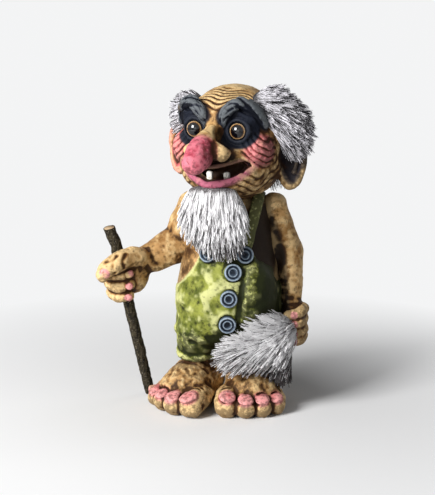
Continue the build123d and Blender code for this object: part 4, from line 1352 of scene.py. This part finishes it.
# %% Twig
twig_length, crook_start = 141, 112
twig_radii = (3.6, 4.0, 4.5)  # at the foot, just above it, and at the top
bud_at, low_ring_at, high_ring_at = 37, 64, 118
chance = np.random.default_rng(61)
rings, around = ((220, 40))
bark = chance.standard_normal((rings, around))
for _ in range(2):
    bark = (bark + np.roll(bark, 1, 1)) / 1.5
    bark[1:-1] = (bark[:-2] + bark[1:-1] + bark[2:]) / 2.2
bark = 0.16 * np.clip(bark, -2, 2)
points, faces = [], []
for index, way in enumerate(np.linspace(0, twig_length, rings)):
    above = step(crook_start, twig_length, way)
    bend = 1.6 * math.sin(math.pi * above) - 1.2 * above
    most = 0.55 if way < crook_start else 1.2
    ring_mark = 0.2 * math.exp(-(((way - low_ring_at) / 1.5) ** 2))
    ring_mark += 0.5 * above * math.exp(-(((way - high_ring_at) / 4) ** 2))
    for k, angle in enumerate(np.arange(around) * 2 * math.pi / around):
        bud = 0.7 * math.exp(-(((way - bud_at) / 3.0) ** 2) - ((math.cos(angle) - 1) / 0.5) ** 2)
        radius = np.interp(way, (0, 3, twig_length), twig_radii) - 0.15
        radius += min(bark[index, k] + bud + ring_mark, most)
        points.append(by_stick(radius * math.cos(angle) + bend, radius * math.sin(angle), way))
        if index:
            before, after = (index - 1) * around, (k + 1) % around
            faces.append((before + k, before + after, before + around + after, before + around + k))
for end, across, way in ((0, 0, 0), (rings - 1, -1.2, twig_length - 0.3)):
    points.append(by_stick(across, 0, way))
    for k in range(around):
        face = (len(points) - 1, end * around + k, end * around + (k + 1) % around)
        faces.append(face if end else face[::-1])
stick_piece = meshed("bark_twig", np.array(points), faces)
mark(stick_piece, cut_end=np.append(np.zeros(len(points) - 1), 1.0))
finish_piece(stick_piece, "walking_stick", "bark", "stick")
print("twig:", len(points), "points,", twig_length, "mm long")

# %% [markdown]
# ## Fur
#
# The real hair is loose fur, glued on. A soft mass of the same shape stands for the lower
# fur, and thousands of thin hairs grow out of it. Each hair is one copy of a tapered stalk.
# It leaves the skin along a growing direction, curls over, and leans with its neighbours
# towards a shared point, which is how fur gathers in locks.

# %% A hair, and the field that it grows in


def fur_field():
    """The node tree that grows hairs from a mesh with flow, curl, length and grow marks."""
    tree = bpy.data.node_groups.new("combed_fur", "GeometryNodeTree")
    plus, minus, times = sums(tree)

    def socket(name, kind, in_out="INPUT"):
        return tree.interface.new_socket(name, in_out=in_out, socket_type="NodeSocket" + kind).identifier

    def made(kind, links=(), **values):
        return add_node(tree, "GeometryNode" + kind, links, **values).outputs[0]

    def read(name, kind="FLOAT"):
        return made("InputNamedAttribute", Name=name, data_type=kind)

    def store(geometry, name, value, kind="FLOAT"):
        links = {"Geometry": geometry, "Value": value}
        return made("StoreNamedAttribute", links, Name=name, data_type=kind)

    def vectors(operation, first, second):
        links = {0: first, "Scale" if operation == "SCALE" else 1: second}
        return add_node(tree, "VectorMath", links, operation=operation).outputs[0]

    def chance(low, high, extra):
        links = {"Seed": plus(given["Seed"], extra), 2: low, 3: high}
        return add_node(tree, "FunctionNodeRandomValue", links, data_type="FLOAT").outputs[1]

    socket("Geometry", "Geometry")
    names = ("Density", "Thickness", "Lock size", "Gather", "Waves")
    sockets = {name: socket(name, "Float") for name in names}
    sockets.update({"Seed": socket("Seed", "Int"), "Paint": socket("Paint", "Material")})
    socket("Geometry", "Geometry", "OUTPUT")
    given = add_node(tree, "NodeGroupInput").outputs

    density = times(given["Density"], read("grow"))
    links = {"Mesh": given["Geometry"], "Density": density, "Seed": given["Seed"]}
    roots = store(made("DistributePointsOnFaces", links), "root", made("InputPosition"), "FLOAT_VECTOR")
    roots = store(roots, "shade", chance(0.0, 1.0, 7))
    way = made("SplineParameter")
    line = made("ResampleCurve", {"Curve": made("CurvePrimitiveLine", End=(0, 0, 1))}, Count=4)
    line = store(line, "along", way)
    taper = minus(1.0, times(maths(tree, "POWER", way, 2.0), 0.8))
    line = made("SetCurveRadius", {"Curve": line, "Radius": taper})
    ring = made("CurvePrimitiveCircle", Resolution=3, Radius=1.0)
    stalk = made("CurveToMesh", {"Curve": line, "Profile Curve": ring}, Fill_Caps=True)
    flow = {"Vector": read("flow", "FLOAT_VECTOR")}
    aim = add_node(tree, "FunctionNodeAlignRotationToVector", flow, axis="Z").outputs[0]
    thick = times(given["Thickness"], chance(0.7, 1.25, 3))
    long = times(read("length"), chance(0.65, 1.15, 5))
    size = add_node(tree, "CombineXYZ", {0: thick, 1: thick, 2: long}).outputs[0]
    grown_at = {"Points": roots, "Instance": stalk, "Rotation": aim, "Scale": size}
    hairs = made("RealizeInstances", {0: made("InstanceOnPoints", grown_at)})
    along, root = read("along"), read("root", "FLOAT_VECTOR")
    bent = times(maths(tree, "POWER", along, 2.0), read("length"))
    curl = vectors("SCALE", read("curl", "FLOAT_VECTOR"), bent)
    lock = {"Vector": root, "Scale": maths(tree, "DIVIDE", 1.0, given["Lock size"])}
    lock = add_node(tree, "TexVoronoi", lock).outputs["Position"]
    lean = vectors("SCALE", vectors("SUBTRACT", lock, root), times(along, given["Gather"]))
    bends = {"Vector": vectors("ADD", root, vectors("SCALE", curl, 3.0))}
    ripple = add_node(tree, "TexNoise", bends, Scale=260.0, Detail=1.0).outputs["Color"]
    middle = add_node(tree, "CombineXYZ", X=0.5, Y=0.5, Z=0.5).outputs[0]
    ripple = vectors("SCALE", vectors("SUBTRACT", ripple, middle), times(along, given["Waves"]))
    shift = vectors("ADD", vectors("ADD", curl, lean), ripple)
    hairs = made("SetPosition", {"Geometry": hairs, "Offset": shift})
    both = add_node(tree, "GeometryNodeJoinGeometry")
    for part in (hairs, given["Geometry"]):
        tree.links.new(part, both.inputs[0])
    real = made("RealizeInstances", {0: both.outputs[0]})
    painted = made("SetMaterial", {"Geometry": real, "Material": given["Paint"]})
    add_node(tree, "NodeGroupOutput", {0: painted})
    return tree, sockets


fur_tree, fur_sockets = fur_field()
print("fur settings:", list(fur_sockets))

# %% [markdown]
# A tuft needs three things from its maker: the direction in which it is combed, how long it
# is, and how many hairs it has. Some also have a bare part, where they sit on the skull, and
# a part in painted shade, where more of the hairs are dark.

# %% Growing a tuft
outward_share, curl_share, sag = 0.38, 0.45, 0.10
hair_waves = 3.0


def unit(vectors):
    return vectors / np.linalg.norm(vectors, axis=1, keepdims=True)


def nowhere(points):
    return 0.0


def grown(
    clay, name, node, slot, flow, length, count, seed, bare=nowhere, dusk=nowhere,
    place=origin, turn=0.0, thickness=0.14, gather=0.55, lock_size=4.5,
):
    """Fires the mass of a tuft, grows its hairs and puts it into the frame."""
    mass, points = fired(clay, name + "_mass", place, turn)
    normals = np.zeros(len(points) * 3, np.float32)
    mass.data.vertex_normals.foreach_get("vector", normals)
    combed = unit(turned(flow(points), turn=turn))
    start = unit(combed + outward_share * normals.reshape(-1, 3))
    curl = curl_share * (combed - start) - np.array([0, 0, sag])
    for key, values in (("flow", start), ("curl", curl)):
        layer = mass.data.attributes.new(key, "FLOAT_VECTOR", "POINT")
        layer.data.foreach_set("vector", values.astype(np.float32).ravel())
    mark(mass, length=length(points) * metre, grow=1 - bare(points), dusk=dusk(points))
    area = sum(face.area for face in mass.data.polygons)
    settings = {
        "Density": count * 1.0 / area,
        "Thickness": thickness * metre,
        "Lock size": lock_size * metre,
        "Gather": gather,
        "Waves": hair_waves * metre,
        "Seed": seed,
        "Paint": paints[slot],
    }
    grower = mass.modifiers.new("fur", "NODES")
    grower.node_group = fur_tree
    for key, value in settings.items():
        grower[fur_sockets[key]] = value
    evaluated = mass.evaluated_get(bpy.context.evaluated_depsgraph_get())
    mesh = bpy.data.meshes.new_from_object(evaluated)
    mesh.name = name
    bpy.data.objects.remove(mass)
    finish_piece(new_object(name, mesh), node, slot)
    mesh.calc_loop_triangles()
    print(f"{name}: {len(mesh.loop_triangles)} triangles")


def on_skull(points):
    """Where a tuft lies inside the skull, so that no hair grows there."""
    return near(points, Egg(skull_middle, (37, 37, 38)), 1.5)


# %% [markdown]
# Five pieces of fur: the beard under the lower lip, a tuft over each ear, the ring of hair
# round the back of the head, and the plume at the end of the tail.

# %% Beard
beard = Clay((-44, -58, 112), (28, -18, 178), fur_cell)
beard_levels = [
    (131, 7, 3, -2, -37), (135, 13, 5.5, -4, -37.5), (141, 18.5, 8, -6.5, -38),
    (151, 21.5, 9, -8.5, -38), (162, 20, 8.5, -9, -38.5), (171, 15.5, 6.5, -9.5, -38.5),
]
beard.add(Stack(smooth_path(beard_levels, 4)))


def flowing(across, back, up):
    """Directions from three parts, each one number or a row of them."""
    return np.stack(np.broadcast_arrays(across, back, up), 1)


grown(
    beard, "white_beard", "beard", "white_fur",
    flow=lambda p: flowing(0.55 * (p[:, 0] + 8) / 45, -0.10, -1.0),
    length=lambda p: 10 + 3 * step(140, 131, p[:, 2]),
    count=9300, seed=3, thickness=0.155, lock_size=3.4, gather=0.6,
    # Painted shade: more dark hairs at the bottom of the beard.
    dusk=lambda p: 0.7 * step(146, 130, p[:, 2]),
)

# %% Tufts over the ears
tufts = (
    {
        "block": ((12, -34, 186), (74, 26, 244)),
        "lumps": (((28, -9, 226.5), (11, 9, 12)), ((36, -4, 219), (12, 9, 14)), ((42, 1, 211), (9, 8, 14))),
        "names": ("tuft_over_left_ear", "hair_left"),
        "root": (16, -14, 224),
        "reach": 30,
        "spread": (0.7, 0.6, 1.3),
        "lean": (0.70, 0.15, -0.38),
        "grow": {"length": 12, "count": 12500, "seed": 4, "gather": 0.6},
    },
    {
        "block": ((-62, -30, 190), (-14, 20, 244)),
        "lumps": (((-29, -7, 223), (9, 8, 11)), ((-34, -3, 217), (8, 7, 12))),
        "names": ("tuft_over_right_ear", "hair_right"),
        "root": (-18, -12, 222),
        "reach": 26,
        "spread": (0.8, 0.6, 0.9),
        "lean": (-0.6, 0.15, -0.25),
        "grow": {"length": 9, "count": 9500, "seed": 5},
    },
)
for tuft in tufts:
    clay = Clay(*tuft["block"], fur_cell)
    for centre, radii in tuft["lumps"]:
        clay.add(Egg(centre, radii), 6)

    def tuft_flow(points):
        away = (points - np.array(tuft["root"])) / tuft["reach"]
        return away * np.array(tuft["spread"]) + np.array(tuft["lean"])

    growing = {**tuft["grow"], "length": lambda points: tuft["grow"]["length"]}
    growing.update({"bare": on_skull, "place": head_place, "turn": head_turn})
    grown(clay, *tuft["names"], "grey_fur", tuft_flow, **growing)

# %% Hair round the back
back_hair = Clay((-50, -6, 160), (50, 50, 236), fur_cell)
back_hair.add(Egg(skull_middle, (41.0, 41.0, 40)))
back_hair.add(Egg((0, -2, 186), (38.5, 38.5, 28)), 8)
back_hair.keep(lambda x, y, z: np.maximum(2 - y, z - 228 + 0.1 * y), 3.0)
back_hair.keep(lambda x, y, z: 172 - z, 3.0)
grown(
    back_hair, "hair_round_the_back", "hair_back", "grey_fur",
    flow=lambda p: flowing(p[:, 0] / 90, 0.25, -1.0),
    length=lambda p: 13 - 3 * step(184, 174, p[:, 2]),
    count=7200, seed=6, place=head_place, turn=head_turn,
    bare=lambda p: 1 - step(3.5, 6.0, p[:, 1] - 10 * step(192, 180, p[:, 2])),
    # Painted shade: more dark hairs low on the back hair.
    dusk=lambda p: 0.6 * step(190, 176, p[:, 2]),
)

# %% [markdown]
# The plume bulges over the fingers that hold it, its heel hangs straight down, and its
# lower side is darker, as painted shade.

# %% Plume at the tail's end
plume = Clay((-12, -64, 20), (66, 2, 84), fur_cell)
plume_line = [(48, -15, 62, 6), (41, -22, 57, 11), (33, -27, 54.5, 12.5), (23, -33, 52.5, 11)]
plume.add(Rope([*plume_line, (14, -38.5, 49.5, 7.5), (8, -42.5, 47, 3)]))
plume.add(Egg((40, -21, 40), (9, 8, 14)), 6)
plume.add(Egg((33, -27, 61), (13, 9, 9)), 6)


def plume_flow(points):
    x, _, z = points.T
    low_heel = (step(46, 32, z) * step(24, 36, x))[:, None]
    core = np.interp(x, (8, 14, 23, 33, 48), (47, 49.5, 52.5, 56, 62))
    rise = (0.75 * np.clip((z - core) / 9, -0.4, 1.0))[:, None] * np.array([0, 0, 1.0])
    by_hand = step(38, 50, x)[:, None] * np.array([0.30, -0.45, 0.10])
    swept = np.array([-0.86, -0.36, -0.30]) + rise + by_hand
    return swept * (1 - low_heel) + np.array([-0.12, -0.08, -1.0]) * low_heel


def plume_length(points):
    x, _, z = points.T
    return 14 - 7 * step(52, 60, z) * step(28, 14, x) - 5 * step(40, 30, z)


# Painted shade: more dark hairs on the plume's lower side and low at its tip.
def plume_hair_shadow(points):
    x, _, z = points.T
    return step(50, 38, z) * step(16, 30, x) + 0.5 * step(56, 46, z) * step(22, 8, x)


grown(
    plume, "plume_of_the_tail", "tail_plume", "white_fur", plume_flow, plume_length,
    count=9000, seed=7, thickness=0.18, gather=0.65, dusk=plume_hair_shadow,
)

# %% [markdown]
# The picture shows the paints as they are, so no film look is laid over them.

# %% Colours for the picture
bpy.context.scene.view_settings.view_transform = "Standard"
